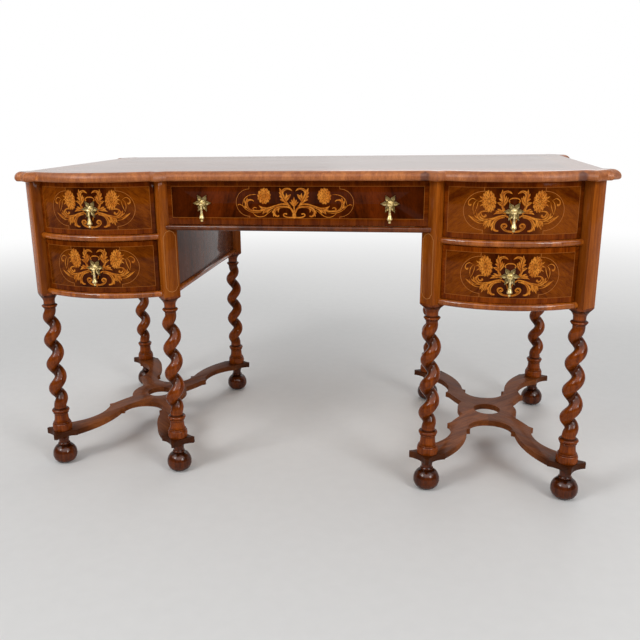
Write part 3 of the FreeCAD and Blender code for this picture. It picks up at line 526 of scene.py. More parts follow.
def twistTree(material):
    # A rope of wood wound round an upright axis.
    sizes = {key: value * mm for key, value in leg["rope"].items()}
    tree, bench, given = newTree("barleyTwist", {**sizes, "Turn": 0.0, "Place X": 0.0, "Place Y": 0.0})
    line = bench.wire("GeometryNodeCurvePrimitiveLine")
    line = bench.wire("GeometryNodeResampleCurve", {"Curve": line, "Count": 150})
    share = bench.wire("GeometryNodeSplineParameter")
    length = given["Top"] - given["Foot"]
    height = given["Foot"] + length * share
    angle = length * share / given["Pitch"] * (2 * math.pi) + given["Turn"] * (math.pi / 180)
    ramp = bench.least(length * share / given["Fade"], length * (1 - share) / given["Fade"])
    ramp = bench.least(ramp, 1)
    swing = given["Throw"] * ramp * ramp * (3 - 2 * ramp)
    spot = bench.point(swing * bench.sum("COSINE", angle), swing * bench.sum("SINE", angle), height)
    line = bench.wire("GeometryNodeSetPosition", {"Geometry": line, "Position": spot})
    radius = given["Rope Foot"] + (given["Rope Top"] - given["Rope Foot"]) * share
    ring = bench.wire("GeometryNodeCurvePrimitiveCircle", {"Resolution": 30, "Radius": 1.0})
    rope = bench.wire("GeometryNodeCurveToMesh", {
        "Curve": line, "Profile Curve": ring, "Scale": radius, "Fill Caps": True})
    x, y, z = bench.axes(bench.wire("GeometryNodeInputPosition"))
    # painted shade, darker nearer the axis in the rope's grooves
    rope = stained(bench, rope, 1 - bench.spread(bench.sum("SQRT", x * x + y * y), *leg["stained"]))
    closeTree(bench, rope, bench.point(given["Place X"], given["Place Y"], 0), material)
    return tree


def grown(tree, inputs):
    # Runs a tree once on an empty mesh and gives the plain result.
    holder = bpy.data.objects.new("holder", bpy.data.meshes.new("holder"))
    scene.collection.objects.link(holder)
    modifier = holder.modifiers.new("grow", "NODES")
    modifier.node_group = tree
    keys = {item.name: item.identifier for item in tree.interface.items_tree if item.in_out == "INPUT"}
    for name, value in inputs.items():
        modifier[keys[name]] = value
    mesh = bakedMesh(holder)
    bpy.data.objects.remove(holder)
    return mesh


def grooveShade(line):
    # Painted shade: how deep a place lies below the turning close to it, from 0 to 1.
    def dark(radius, height):
        near = [reach for reach, level in line if abs(level - height) < 3.2]
        return min(1, max(0, max(near) - radius - 0.5) / 3)
    return dark


def addTurning(work, profile, place, sidesAround=56, square=None):
    line = curveThrough(profile, leg["stepsPerSpan"])
    merge(work, latheMesh(line, place, sidesAround, square, grooveShade(line)))


twist = twistTree(woods["turnedWalnut"])
for key, turn in leg["turns"].items():
    side, rank, end = key.split("_")
    x = sides[side] * desk[rank + "X"]
    y = desk[end + "Y"]
    work = bmesh.new()
    work.from_mesh(grown(twist, {"Turn": float(turn), "Place X": x * mm, "Place Y": y * mm}))
    addTurning(work, leg["shoulder"], (x, y), leg["sides"], desk["postHalf"])
    addTurning(work, leg["foot"], (x, y), leg["sides"])
    standIn("leg_" + key, meshOf(work, "leg", leg["smooth"]), woods["turnedWalnut"])
for side, sign in sides.items():
    work = bmesh.new()
    for rank in ("outer", "inner"):
        for end in ("front", "back"):
            addTurning(work, ball, (sign * desk[rank + "X"], desk[end + "Y"]))
    standIn("ball_feet_" + side, meshOf(work, "feet", leg["smooth"]), woods["footWalnut"])
print("legs and feet turned")


# ---- Drawer fronts: crossbanded veneer round a dark cartouche

# Millimetres from the middle of each front: the field's half-width, foot and top, and the cartouche's shoulder,
# middle height and end radius. Reliefs are bump strength and reach; polish is a coat as finishMaterial takes it.
darkGround = veneer((38, 9, 0), (86, 32, 2), (22, 5, 0), 26, stretch=(1, 1, 0.25), poreStretch=(1, 1, 0.05))
front = {
    "pedestal": {
        "field": (135, -48.5, 49.5), "cartouche": (62, 0.5, 41), "clearing": (30, 74), "ends": 0, "slant": 52,
        "farBand": 0.5, "outside": veneer((80, 29, 2), (142, 70, 9), (44, 14, 1), 22, stretch=(1, 1, 0.4),
                                          poreStretch=(1, 1, 0.05))},
    "frieze": {
        "field": (290, -33.8, 38.2), "cartouche": (104, 1.2, 31), "clearing": (40, 130), "ends": 0.6, "slant": 12,
        "farBand": 0.1, "outside": {**darkGround, "light": tone(126, 50, 7), "figure": 17, "stretch": (1, 1, 0.3)}},
    "band": veneer((90, 32, 1), (144, 66, 7), (56, 17, 1), 46, stretch=(1, 1, 0.1)),
    "string": 0.9, "rimString": 0.6, "line": tone(172, 104, 46), "endReach": 120, "cleared": 0.85,
    "shade": {"left_upper": 0.08, "left_lower": 0.3, "right_upper": 0.12, "right_lower": 0, "frieze": 0.36},
    "roughness": 0.24, "unevenness": 0.1, "relief": (0.06, 0.2 * mm), "polish": (0.12, 0.08, 0),
}


def frontMaterial(name, shape, middleX, middleZ, shade):
    material, bench = newMaterial(name)
    place = bench.place()
    x, y, z = bench.axes(place)
    fromMiddle = x / mm - middleX
    across = abs(fromMiddle)
    height = z / mm - middleZ
    fieldHalf, fieldFoot, fieldTop = shape["field"]
    beyondSide = across - fieldHalf
    beyondEnd = bench.most(height - fieldTop, fieldFoot - height)
    beyond = bench.most(beyondSide, beyondEnd)
    shoulder, level, radius = shape["cartouche"]
    sideways = bench.most(across - shoulder, 0)
    fromEnd = bench.sum("SQRT", sideways * sideways + (height - level) * (height - level))
    inside = bench.most(across < shoulder, fromEnd < radius)
    halfLine = front["string"] / 2
    curved = (abs(fromEnd - radius) < halfLine) * (across > shoulder)
    ticks = (abs(across - shoulder) < halfLine) * (fromEnd > radius)
    strings = bench.most((curved + ticks) * (beyond < 0), (abs(beyond) < halfLine) * front["rimString"])
    dark = darkGround["dark"]
    upBand, relief = woodTone(bench, place, front["band"])
    sideBand = woodTone(bench, bench.mapped(place, "Rotation", (0, quarterTurn, 0)), front["band"])[0]
    band = bench.mix(beyondSide > beyondEnd, upBand, sideBand)
    band = bench.mix((fromMiddle > fieldHalf) * shape["farBand"], band, dark)
    matched = bench.point(across * mm + middleZ * mm, middleX * mm, height * mm)
    slanted = bench.mapped(matched, "Rotation", (0, math.radians(shape["slant"]), 0))
    field = woodTone(bench, slanted, shape["outside"])[0]
    ends = bench.spread(across, fieldHalf - front["endReach"], fieldHalf)
    field = bench.mix(ends * shape["ends"], field, dark)
    ground = woodTone(bench, place, darkGround)[0]
    ground = bench.mix(bench.spread(across, *shape["clearing"]) * front["cleared"], ground, field)
    colour = bench.mix(beyond < 0, band, bench.mix(inside, field, ground))
    colour = bench.mix(shade, colour, dark)
    colour = bench.mix(strings, colour, front["line"])
    rough = bench.noise(place, grain["smears"], 2) * front["unevenness"] + front["roughness"]
    finishMaterial(bench, colour, rough, relief, front["relief"], front["polish"])
    return material


# The drawers: middle of the front in X and Z, and how its face is set
drawers = {}
for side, sign in sides.items():
    for row in ("upper", "lower"):
        drawers[f"{side}_{row}"] = (sign * desk["pedestalX"], desk[row + "Z"], "pedestal")
drawers["frieze"] = (0, desk["friezeZ"], "frieze")
for key, (middleX, middleZ, kind) in drawers.items():
    material = frontMaterial(camel("front_" + key), front[kind], middleX, middleZ, front["shade"][key])
    node = "drawer_front_" + key
    standIn(node, easedCopy(node), material)
print("drawer fronts veneered")


# ---- Marquetry: scrolls, leaves and flowers in pale wood, let into the dark ground

# A stroke is its points with the width at each: (x, height, width) in millimetres from the middle of the front.
# All is mirrored across the middle.
pedestalScrolls = {
    "strokes": [
        # the upright leaf, its lobes and its curled top
        [(17, -3, 3.5), (20.5, 3, 4.5), (23.8, 10, 5.5), (22.6, 19, 8), (23.4, 28, 8), (25.4, 37, 6), (25.8, 46, 0.3)],
        [(23.6, 12, 6), (29.4, 16.4, 6.4), (35.6, 18.4, 0.3)], [(24, 22, 6), (28.6, 25, 5), (32.6, 26, 0.3)],
        [(24.6, 28, 6), (28.4, 32.6, 4.4), (30.4, 37.4, 0.3)], [(22.8, 13, 6), (17.4, 21, 6.6), (13, 29.4, 0.3)],
        [(22, 19, 6), (18, 27, 4.6), (17.6, 33, 0.3)],
        [(24, 31, 7), (22, 38.4, 6.8), (15.6, 41.4, 5), (10, 40, 4), (5.4, 36.6, 0.6)],
        # the low leaf beside the pull
        [(16.6, -5.4, 3.5), (22, -0.6, 7), (29, -1, 8), (35, -3, 5), (41.6, -6.4, 0.3)], [(21, 0, 5), (24.4, 4.4, 0.3)],
        [(26, 0, 6), (31, 4, 3.6), (34.6, 4.6, 0.3)], [(31, -1, 5), (35, 0.6, 3), (38.4, 0.4, 0.3)],
        # the crescent above the pull
        [(0, 27.8, 3.2), (5, 27.4, 2.6), (9.4, 25.2, 2), (11.4, 21.6, 2.2), (9, 19.2, 3)],
        # the scroll below, and its pendant
        [(0, -42, 5.4), (6, -42.4, 4.4), (12.6, -41, 4.6), (19.4, -37, 5), (23.2, -31.4, 4.8), (21.6, -27.2, 4.2),
         (16.4, -26.6, 3.8), (13.4, -30.4, 3.6), (16, -33.6, 3.4), (18.6, -31.4, 3)],
        [(0, -39, 1), (0, -43, 6.4), (0, -47.4, 0.3)],
        [(15, -10.6, 2.4), (9, -14.4, 2.6), (5.4, -20.6, 2.4), (3.4, -28, 1)],
        # the great arc
        [(18, -12.6, 1.4), (26, -13.4, 3.6), (33.4, -16.4, 5.4), (39, -22.4, 7), (41.4, -30, 7.4), (39.4, -37.6, 6),
         (34.6, -41, 4.4), (29.6, -41.2, 3)],
        [(41, -25, 5), (45, -28.6, 3.4), (46, -33, 0.3)], [(41, -32, 5), (43.6, -37.4, 3), (42.6, -41.4, 0.3)],
        # the outer band, its leaves and the leaf that hangs from it
        [(7.8, -14.6, 1.4), (15, -9.6, 2.6), (23.4, -9, 3.2), (33, -11.8, 4), (41.4, -15.4, 5), (50, -17.8, 6),
         (58, -18.8, 6), (66, -17.2, 7.4), (72.6, -12.6, 6), (76, -3.4, 0.3)],
        [(66, -16, 6), (70.6, -10, 4.4), (71.6, -4.6, 0.3)], [(70, -15, 5), (76.6, -12.6, 3.4), (80, -9, 0.3)],
        [(47, -18, 8), (52, -25, 9), (55, -31, 5.4), (57.8, -38.6, 0.3)],
        [(55, -20, 7), (59, -26.6, 4.6), (61, -32, 0.3)],
        [(48, -20, 6), (48.6, -27, 5), (50.6, -34.6, 0.3)],
        # the hook over the flower's foot, and its eye
        [(54, -0.6, 1.6), (61, 0, 2.6), (67.4, -2.6, 3), (69.8, -8.4, 3), (67, -14.4, 4)],
        [(66.6, -4, 1), (64.6, -9.6, 2.6), (60.6, -12, 3.6), (57, -9.8, 4.6), (58.4, -7.4, 3)],
        # sprays and tendrils
        [(60, -26.4, 0.5), (70, -25.6, 1.5), (78, -21.4, 3.4), (85, -15.6, 4), (92.4, -10, 0.3)],
        [(66, -22, 0.4), (75, -19.6, 1.4), (84, -12, 0.4)],
        [(73.2, 20, 0.5), (75, 11, 1.5), (77.6, 2.4, 1.5), (81.6, -7.4, 0.5)],
        [(75.8, 22.6, 0.5), (81.6, 15.8, 1.5), (83.6, 5, 1.5), (81.6, -6, 0.5)],
        [(78, 22.6, 0.6), (85, 26, 1.7), (92, 21.6, 2), (93.2, 14.6, 2.8), (89.6, 11.6, 4.2), (88, 14, 3)],
        # bracts beside the flower
        [(62, 27.4, 3), (67, 28, 3.2), (71, 31.4, 0.3)], [(62, 21.6, 3), (67, 21.6, 3.4), (71.6, 19.4, 0.3)],
        [(61, 14, 3), (66, 13, 3), (70, 9.6, 0.3)]],
    "flower": {"middle": (51.6, 20.8), "half": (14.8, 24.2), "lean": 10, "petals": 11},
    "veins": [
        [(20.5, 3), (23, 12), (22.8, 22), (24.8, 34), (25.6, 42)], [(24, 13.4), (29, 16.6), (33, 17.8)],
        [(22, 15), (17.6, 21.6), (14.4, 27)], [(23.6, 34), (21, 38.6), (15.6, 41), (10, 39.6)],
        [(18.6, -3.6), (25, -0.8), (34, -3)], [(31, -15.4), (37.6, -21), (40.6, -29), (38.4, -37)],
        [(50, -19.6), (53.6, -27), (56.6, -35)], [(49, -22), (49.4, -30)], [(57, -22), (60, -29)],
        [(44, -16.6), (54, -18.8), (64, -18.2), (71, -13), (75, -6)], [(67.4, -14), (70.8, -7)],
        [(12, -41), (19, -37), (22.8, -31.4), (21, -27.6)]],
}
friezeScrolls = {
    "strokes": [
        # the upright leaf
        [(10.6, -6.6, 3), (15, -1.6, 4.4), (20, 4, 7), (25, 12, 10), (28.4, 21, 9), (30.4, 28, 6), (33.4, 34.4, 0.3)],
        [(23, 6, 6), (28.6, 8, 5), (32.6, 7.4, 0.3)], [(26, 12, 7), (31, 15.4, 5), (34.2, 16, 0.3)],
        [(28, 19, 6), (32, 23, 4.4), (35, 24.6, 0.3)], [(21, 5.4, 7), (15.6, 11.6, 8), (11, 16.4, 6), (7, 20.6, 0.3)],
        [(19, 10, 6), (17, 17, 5), (17.8, 22.6, 0.3)],
        [(28, 22, 7), (24.4, 29, 6.4), (17.4, 32.4, 4.8), (9.4, 31.8, 4), (3.8, 27.4, 0.6)],
        # the bud in the middle and its stem
        [(0, -14, 2.6), (0, -4, 4), (0, 5, 7), (0, 10, 4), (0, 14.4, 0.3)], [(1.4, -5, 4), (6, 0, 4), (10.8, 3.4, 0.3)],
        [(1, 0, 4), (4.6, 4.6, 3.4), (6.2, 8.6, 0.3)],
        [(0, -34, 6), (0, -27, 9), (0, -20, 5), (0, -13, 2)],
        # the curl at the foot
        [(1, -31.4, 4), (8, -32, 3), (16, -31.6, 3), (22.6, -29.4, 3), (25, -26, 2.8), (21.6, -23.2, 2.8),
         (17, -24.6, 4)],
        # the near band ends in a curl
        [(2.4, -22, 4), (5, -15.4, 4.4), (10, -9.8, 4.4), (18.6, -8, 4.4), (29.6, -8.2, 5), (39, -10.8, 6),
         (45.2, -16, 7), (46.6, -22, 6), (43.4, -27.8, 4.4), (38.4, -29.6, 3.4), (35.4, -27.6, 3.4)],
        [(45.6, -17, 5), (49.8, -19.4, 3), (51, -23, 0.3)], [(45.6, -23, 5), (48.2, -27, 3), (47.6, -31, 0.3)],
        [(35.4, -11, 5), (37, -16.4, 3.4), (35.6, -21, 0.3)],
        # the far band with its leaf
        [(8, -7, 1.2), (12.6, -4.2, 2.4), (20, -2, 3.4), (30, -2.2, 4), (40, -5.2, 4.6), (50, -9, 6), (59, -12.6, 8),
         (67.6, -13, 8), (75.4, -10.2, 5), (82.6, -4.6, 0.3)],
        [(60, -13, 8), (66, -16.6, 8), (70.6, -20.4, 5), (73.4, -24.6, 0.3)],
        [(66, -13, 7), (73, -15, 5), (79, -14.4, 0.3)],
        [(57, -13, 6), (61, -18, 4.4), (64, -23, 0.3)],
        # the outer scroll
        [(72, -16.6, 2), (80, -17.4, 3), (90, -17.2, 3.2), (99.4, -16.2, 3.6), (107, -11.6, 5), (111.2, -3.4, 7),
         (109.6, 4, 6), (103, 7.8, 4), (97, 7, 3), (93.4, 4.4, 1.4)],
        [(110, -2, 6), (114.4, 2.6, 3.6), (114.6, 8.4, 0.3)], [(109, 3, 6), (109.6, 8.6, 3.6), (107.6, 12.8, 0.3)],
        [(108, -10, 5), (114, -8.6, 3), (117, -5, 0.3)],
        # tendrils
        [(76, -20.4, 0.5), (90, -21.6, 1.4), (104, -18.8, 1.4), (114, -12.6, 1.4), (120.6, -5.6, 1.4), (128, -2.4, 1.6),
         (131.4, -5, 1.2)],
        [(49.8, -14.8, 0.6), (60.2, -22.4, 1.6), (69.4, -29, 1.6), (80, -31, 1.6), (90, -28, 1.6), (96.6, -21.6, 0.6)],
        [(87, 19.6, 0.6), (98, 19.4, 1.6), (109, 15.6, 1.6), (117, 7, 1.6), (120.6, -5, 0.6)],
        [(87, -11, 0.8), (92, -9.4, 1.8), (96, -12.4, 2.2), (93.4, -14.4, 1.8)]],
    "flower": {"middle": (69.2, 16.4), "half": (16, 18.8), "lean": -6, "petals": 9},
    "veins": [
        [(16, 0), (21.6, 7), (26.4, 16), (29.4, 26)], [(20, 7), (14.6, 12.6), (9.4, 18)],
        [(27, 27), (20, 31.6), (11, 31.6)],
        [(0, -10), (0, 9)], [(3, -3.6), (8, 1.6)], [(14, -8.4), (28, -8.4), (39, -11.6), (45, -18), (44.6, -25)],
        [(26, -2.6), (40, -5.8), (54, -11), (66, -13.6), (76, -9.6)], [(62, -14.6), (68, -18.4), (72, -22.4)],
        [(96, -17), (106.4, -12), (110.8, -3.4), (109, 3.6)], [(0, -32), (0, -20)]],
}
scrolls = {"pedestal": pedestalScrolls, "frieze": friezeScrolls}

inlay = {
    "rise": 0.09, "step": 0.002, "veinRise": 0.2, "sunk": 0.3, "vein": 1.15, "tip": 0.3, "least": 0.25,
    "stepsPerSpan": 6, "smooth": 30, "flowerRings": (1, 0.8, 0.5, 0.2), "ringPoints": 72, "lobes": 4, "bite": 0.14,
    "cutPetals": ((0.1, 0.4, 0), (0.42, 0.68, 0.5), (0.66, 0.95, 0)), "bend": (0.14, 0.05),
    "smears": 80, "unevenness": 0.1, "roughness": 0.22, "relief": (0.05, 0.1 * mm),
}


def strokeRows(points):
    line = curveThrough(points, inlay["stepsPerSpan"])
    rows = []
    for number, (x, z, width) in enumerate(line):
        before = line[max(0, number - 1)]
        after = line[min(len(line) - 1, number + 1)]
        run = Vector((after[0] - before[0], after[1] - before[1])).normalized()
        half = max(width, inlay["least"]) / 2
        rows.append([(x - run.y * half * reach, z + run.x * half * reach) for reach in (1, 0, -1)])
    return rows


def onFlower(flower, reach, angle):
    # A place on a flower head, which leans.
    middleX, middleZ = flower["middle"]
    lean = math.radians(flower["lean"])
    x = flower["half"][0] * reach * math.cos(angle)
    z = flower["half"][1] * reach * math.sin(angle)
    return (middleX + x * math.cos(lean) + z * math.sin(lean), middleZ - x * math.sin(lean) + z * math.cos(lean))


def flowerRows(flower):
    # Rings of a flower head from its rim inwards.
    lobes = flower["petals"] + inlay["lobes"]
    angles = [2 * math.pi * number / inlay["ringPoints"] for number in range(inlay["ringPoints"])]
    return [[onFlower(flower, scale * (1 - inlay["bite"] * (1 - abs(math.cos(lobes * angle / 2))) * scale), angle)
             for angle in angles] for scale in inlay["flowerRings"]]


def inlayMesh(shapes, onto):
    # Each shape is a closed sliver: rows of points on the face, its rise, whether the rows are rings, its material.
    work = bmesh.new()
    edgeLayer = work.verts.layers.float.new("edge")
    for rows, rise, ringed, materialIndex in shapes:
        wide = len(rows[0])
        last = len(rows) - 1
        middle = all(abs(row[len(row) // 2][0]) < 0.01 for row in rows)
        for mirror in (1,) if middle and not ringed else (1, -1):
            levels = []
            for lift in (rise, -inlay["sunk"]):
                grid = []
                for number, row in enumerate(rows):
                    line = [work.verts.new(onto(mirror * x, z, lift)) for x, z in row]
                    for column, vertex in enumerate(line):
                        rim = number == 0 if ringed else column in (0, wide - 1)
                        vertex[edgeLayer] = 1 if rim else 0
                    grid.append(line)
                levels.append(grid)
            top, bottom = levels
            faces = []
            for number in range(last):
                for column in range(wide if ringed else wide - 1):
                    after = (column + 1) % wide
                    for grid in levels:
                        faces.append([grid[number][column], grid[number][after], grid[number + 1][after],
                                      grid[number + 1][column]])
            if ringed:
                faces += [list(grid[-1]) for grid in levels]
                walls = [(0, column, 0, (column + 1) % wide) for column in range(wide)]
            else:
                walls = [(number, column, number + 1, column) for number in range(last) for column in (0, wide - 1)]
                walls += [(number, column, number, column + 1) for column in range(wide - 1) for number in (0, last)]
            for a, b, c, d in walls:
                faces.append([top[a][b], top[c][d], bottom[c][d], bottom[a][b]])
            for corners in faces:
                work.faces.new(corners).material_index = materialIndex
    bmesh.ops.recalc_face_normals(work, faces=work.faces)
    return meshOf(work, "inlay", inlay["smooth"])


def inlayMaterial(name, look):
    material, bench = newMaterial(name)
    place = bench.place()
    edge = bench.painted("edge")
    colour, height = woodTone(bench, place, look)
    colour = bench.mix(edge * edge * look["scorch"], colour, look["pore"])
    rough = bench.noise(place, inlay["smears"], 2) * inlay["unevenness"] + inlay["roughness"]
    finishMaterial(bench, colour, rough, height, inlay["relief"], front["polish"])
    return material


paleInlay = inlayMaterial("paleInlay", veneer(
    (166, 84, 14), (222, 142, 50), (96, 38, 4), 110, stretch=(1, 1, 0.5), poreDark=0.15, scorch=0.6))
engraving = inlayMaterial("engraving", veneer((64, 22, 2), (92, 36, 5), (44, 14, 2), 120, scorch=0))
stringInlay = inlayMaterial("stringInlay", veneer(
    (168, 104, 50), (200, 138, 78), (130, 70, 28), 90, poreDark=0.15, scorch=0.1))


def marquetryShapes(design):
    shapes = []
    rise = inlay["rise"]
    for points in design["strokes"]:
        shapes.append((strokeRows(points), rise, False, 0))
        rise += inlay["step"]
    flower = design["flower"]
    petals = flower["petals"]
    shapes.append((flowerRows(flower), rise, True, 0))
    veins = list(design["veins"])
    midBend, endBend = inlay["bend"]
    for petal in range(petals):  # three rows of cut petals round the heart
        for near, far, shift in inlay["cutPetals"]:
            angle = 2 * math.pi * (petal + shift) / petals
            veins.append([onFlower(flower, near, angle), onFlower(flower, (near + far) / 2, angle + midBend),
                          onFlower(flower, far, angle + endBend)])
    for vein in veins:
        widths = [inlay["tip"]] + [inlay["vein"]] * (len(vein) - 2) + [inlay["tip"]]
        points = [(x, z, width) for (x, z), width in zip(vein, widths)]
        shapes.append((strokeRows(points), inlay["veinRise"], False, 1))
    return shapes


def ontoBow(middleX, middleZ):
    def onto(x, z, lift):
        share = x / desk["faceRadius"]
        reach = desk["faceRadius"] + lift
        y = desk["bowY"] - reach * math.sqrt(1 - share * share)
        return ((middleX + reach * share) * mm, y * mm, (middleZ + z) * mm)
    return onto


def ontoFlat(middleX, middleZ):
    return lambda x, z, lift: ((middleX + x) * mm, (desk["friezeFaceY"] - lift) * mm, (middleZ + z) * mm)


def ontoPost(sign):
    # The kneehole face of an inner front post.
    inset = desk["postHalf"] / 2
    root = Vector((sign * (desk["innerX"] - inset), desk["frontY"] - inset))
    along = Vector((sign, -1)).normalized()
    outward = Vector((-sign, -1)).normalized()

    def onto(x, z, lift):
        spot = root + along * x + outward * lift
        return (spot.x * mm, spot.y * mm, z * mm)
    return onto


for key, (middleX, middleZ, kind) in drawers.items():
    onto = (ontoFlat if kind == "frieze" else ontoBow)(middleX, middleZ)
    mesh = inlayMesh(marquetryShapes(scrolls[kind]), onto)
    newPiece(camel("marquetry_" + key), mesh, nodeBody["drawer_front_" + key], [paleInlay, engraving])
print("marquetry cut")

# Strings on the kneehole faces of the two inner front posts, as (place across, height) in millimetres
postString = {"width": 1.2, "rise": 0.1, "step": 0.01, "outline": [
    [(15.8, 490.5), (15.8, 613)],
    [(15.8, 490.5), (14.4, 489), (12.6, 486.4), (11.6, 483.4), (8.4, 480.6), (4, 478.8), (0, 477.6)],
    [(15.8, 613), (14.4, 614.6), (12.6, 617.2), (11.6, 620.2), (8.4, 623.2), (4, 625.2), (0, 626.6)]]}
for side, sign in sides.items():
    shapes = [(strokeRows([(x, z, postString["width"]) for x, z in line]),
               postString["rise"] + postString["step"] * number, False, 0)
              for number, line in enumerate(postString["outline"])]
    newPiece(camel("post_strings_" + side), inlayMesh(shapes, ontoPost(sign)), "carcass", [stringInlay])


# ---- Brass drop pulls

pull = {
    "petals": 6, "thick": 1.1, "curl": 3.2, "gap": 0.1, "friezeX": 216, "smooth": 38, "weld": 0.001 * mm,
    "tiers": [{"Reach": 21.6, "Half Width": 5.0, "Turn": 0.0}, {"Reach": 11.5, "Half Width": 2.8, "Turn": 30.0}],
    "boss": [(0, 5.8), (2.2, 5.7), (4.2, 4.9), (5.2, 3.4), (5.4, 2.6), (5.4, 2.6), (6.4, 2.3), (6.8, 1.8), (6.6, 1.2),
        (0, 1)],
    "eyeDrop": 3, "eyeForward": 10.4, "earGap": 2.3, "earThick": 1.6, "earRadius": 2.6,
    "pin": [(0, -4.4), (1.3, -4.3), (1.8, -3.95), (1.3, -3.9), (1.3, -3.9), (1.3, 3.9), (1.3, 3.9), (1.8, 3.95),
        (1.3, 4.3), (0, 4.4)],
    "loop": [(1.7, -1.5), (2.1, -1.9), (2.1, -1.9), (2.8, -1.8), (3.1, -1.2), (3.1, 1.2), (2.8, 1.8), (2.1, 1.9),
        (2.1, 1.9), (1.7, 1.5), (1.7, -1.5)],
    "drop": [(0, -2.2), (1.6, -2.3), (1.7, -3.8), (1.7, -3.8), (2.7, -4.3), (2.8, -5.1), (1.8, -5.7), (1.8, -5.7),
        (1.6, -7.6), (1.8, -8.6), (1.8, -8.6), (3, -9.1), (3.1, -10), (2.2, -10.6), (2.2, -10.6), (2.4, -14),
        (3, -18.6), (3.9, -22.8), (5.2, -26.8), (6.1, -29.4), (6.1, -30.6), (6.1, -30.6), (5.3, -32.2), (3, -33.4),
        (1.8, -33.8), (1.8, -33.8), (1.8, -34.4), (1.8, -34.4), (2.8, -35.4), (3, -37), (2.4, -38.8), (0, -40)],
    "neck": {"below": -31, "radius": 2, "stain": 0.8},
    "stud": 2.5, "nut": 6, "nutBore": 2.6, "nutEdge": 0.6, "nutThick": 4, "nutGap": 0.3, "earEdge": 0.3, "earRoot": 1.5,
}


# Brass, dull where it is untouched, bright where worn, and with painted shade in its low places
metal = {
    "dull": tone(204, 176, 104), "worn": tone(244, 224, 172), "low": tone(92, 68, 12), "patches": 220,
    "contrast": (0.35, 0.7), "roughness": 0.26, "unevenness": 0.1, "grit": 500, "relief": (0.08, 0.1 * mm),
    "metallic": 0.6,
}


def brassMaterial():
    material, bench = newMaterial("brass")
    place = bench.place()
    wear = bench.spread(bench.noise(place, metal["patches"], 4, 0.6), *metal["contrast"])
    colour = bench.mix(wear, metal["dull"], metal["worn"])
    # painted shade in the low places of the petals and on the drop's neck
    colour = bench.mix(bench.painted("hollow"), colour, metal["low"])
    rough = wear * metal["unevenness"] + metal["roughness"]
    finishMaterial(bench, colour, rough, bench.noise(place, metal["grit"], 2), metal["relief"],
                   metallic=metal["metallic"])
    return material


brass = brassMaterial()


# Shares of a petal's length and half-width: where its tip starts, how it narrows, its raised rim, and where painted
# shade darkens it
petalShape = {
    "tip": 0.55, "tipWidth": (1.02, 1.2), "rootWidth": (0.74, 0.9), "rim": (0.2, 0.75), "rimStart": (0.1, 0.4),
    "hollowThick": 0.5, "rimThick": 1.9, "hollowStain": 0.7, "rootStain": (0.15, 0.35),
}


def petalTree(material):
    # Pointed petals in a ring round the Y axis, hollowed and curled at their tips, on a back bowed like the drawer.
    sizes = {"Petals": pull["petals"], "Reach": 0.02, "Half Width": 0.005, "Turn": 0.0, "Thick": pull["thick"] * mm,
             "Curl": pull["curl"] * mm, "Bow": 0.0, "Place X": 0.0, "Place Y": 0.0, "Place Z": 0.0}
    tree, bench, given = newTree("petalPlate", sizes)
    block = bench.wire("GeometryNodeMeshCube", {
        "Size": (1, 1, 1), "Vertices X": 15, "Vertices Y": 11, "Vertices Z": 2})
    x, y, z = bench.axes(bench.wire("GeometryNodeInputPosition"))
    share = x + 0.5
    across = y * 2
    over = z + 0.5
    shape = petalShape
    outer = bench.most((share - shape["tip"]) / (1 - shape["tip"]), 0)
    inner = bench.most((shape["tip"] - share) / shape["tip"], 0)
    (full, tipPower), (lost, rootPower) = shape["tipWidth"], shape["rootWidth"]
    width = given["Half Width"] * (full - outer) ** tipPower * (1 - lost * inner ** rootPower)
    rim = bench.spread(abs(across), *shape["rim"])
    thick = given["Thick"] * (shape["hollowThick"] + shape["rimThick"] * rim * bench.spread(share, *shape["rimStart"]))
    spot = bench.point(given["Reach"] * share, 0 - (thick + given["Curl"] * outer * outer) * over, width * across)
    petal = bench.wire("GeometryNodeSetPosition", {"Geometry": block, "Position": spot})
    # painted shade in the hollow between the rims and near the root
    low = bench.most((1 - rim) * (1 - outer) * shape["hollowStain"], 1 - bench.spread(share, *shape["rootStain"]))
    petal = stained(bench, petal, low)
    points = bench.wire("GeometryNodePoints", {"Count": given["Petals"]})
    number = bench.wire("GeometryNodeInputIndex")
    angle = number / given["Petals"] * (2 * math.pi) + given["Turn"] * (math.pi / 180)
    turned = bench.wire("FunctionNodeAxisAngleToRotation", {"Axis": (0, -1, 0), "Angle": angle})
    plate = bench.wire("GeometryNodeInstanceOnPoints", {"Points": points, "Instance": petal, "Rotation": turned})
    offset = bench.point(given["Place X"], given["Place Y"] + given["Bow"] * x * x, given["Place Z"])
    closeTree(bench, plate, offset, material)
    return tree


petalPlates = petalTree(brass)
alongY = Matrix.Rotation(quarterTurn, 4, "X")
alongX = Matrix.Rotation(quarterTurn, 4, "Y")


def addTurned(work, profile, way, place, sidesAround=28, smooth=3, dark=None):
    # A turned piece laid along an axis and added to the mesh in hand.
    turning = latheMesh(curveThrough(profile, smooth) if smooth else profile, (0, 0), sidesAround, None, dark)
    bmesh.ops.remove_doubles(turning, verts=turning.verts, dist=pull["weld"])
    turned = Matrix.Translation([value * mm for value in place]) @ way
    bmesh.ops.transform(turning, matrix=turned, verts=turning.verts)
    bmesh.ops.recalc_face_normals(turning, faces=turning.faces)
    merge(work, turning)


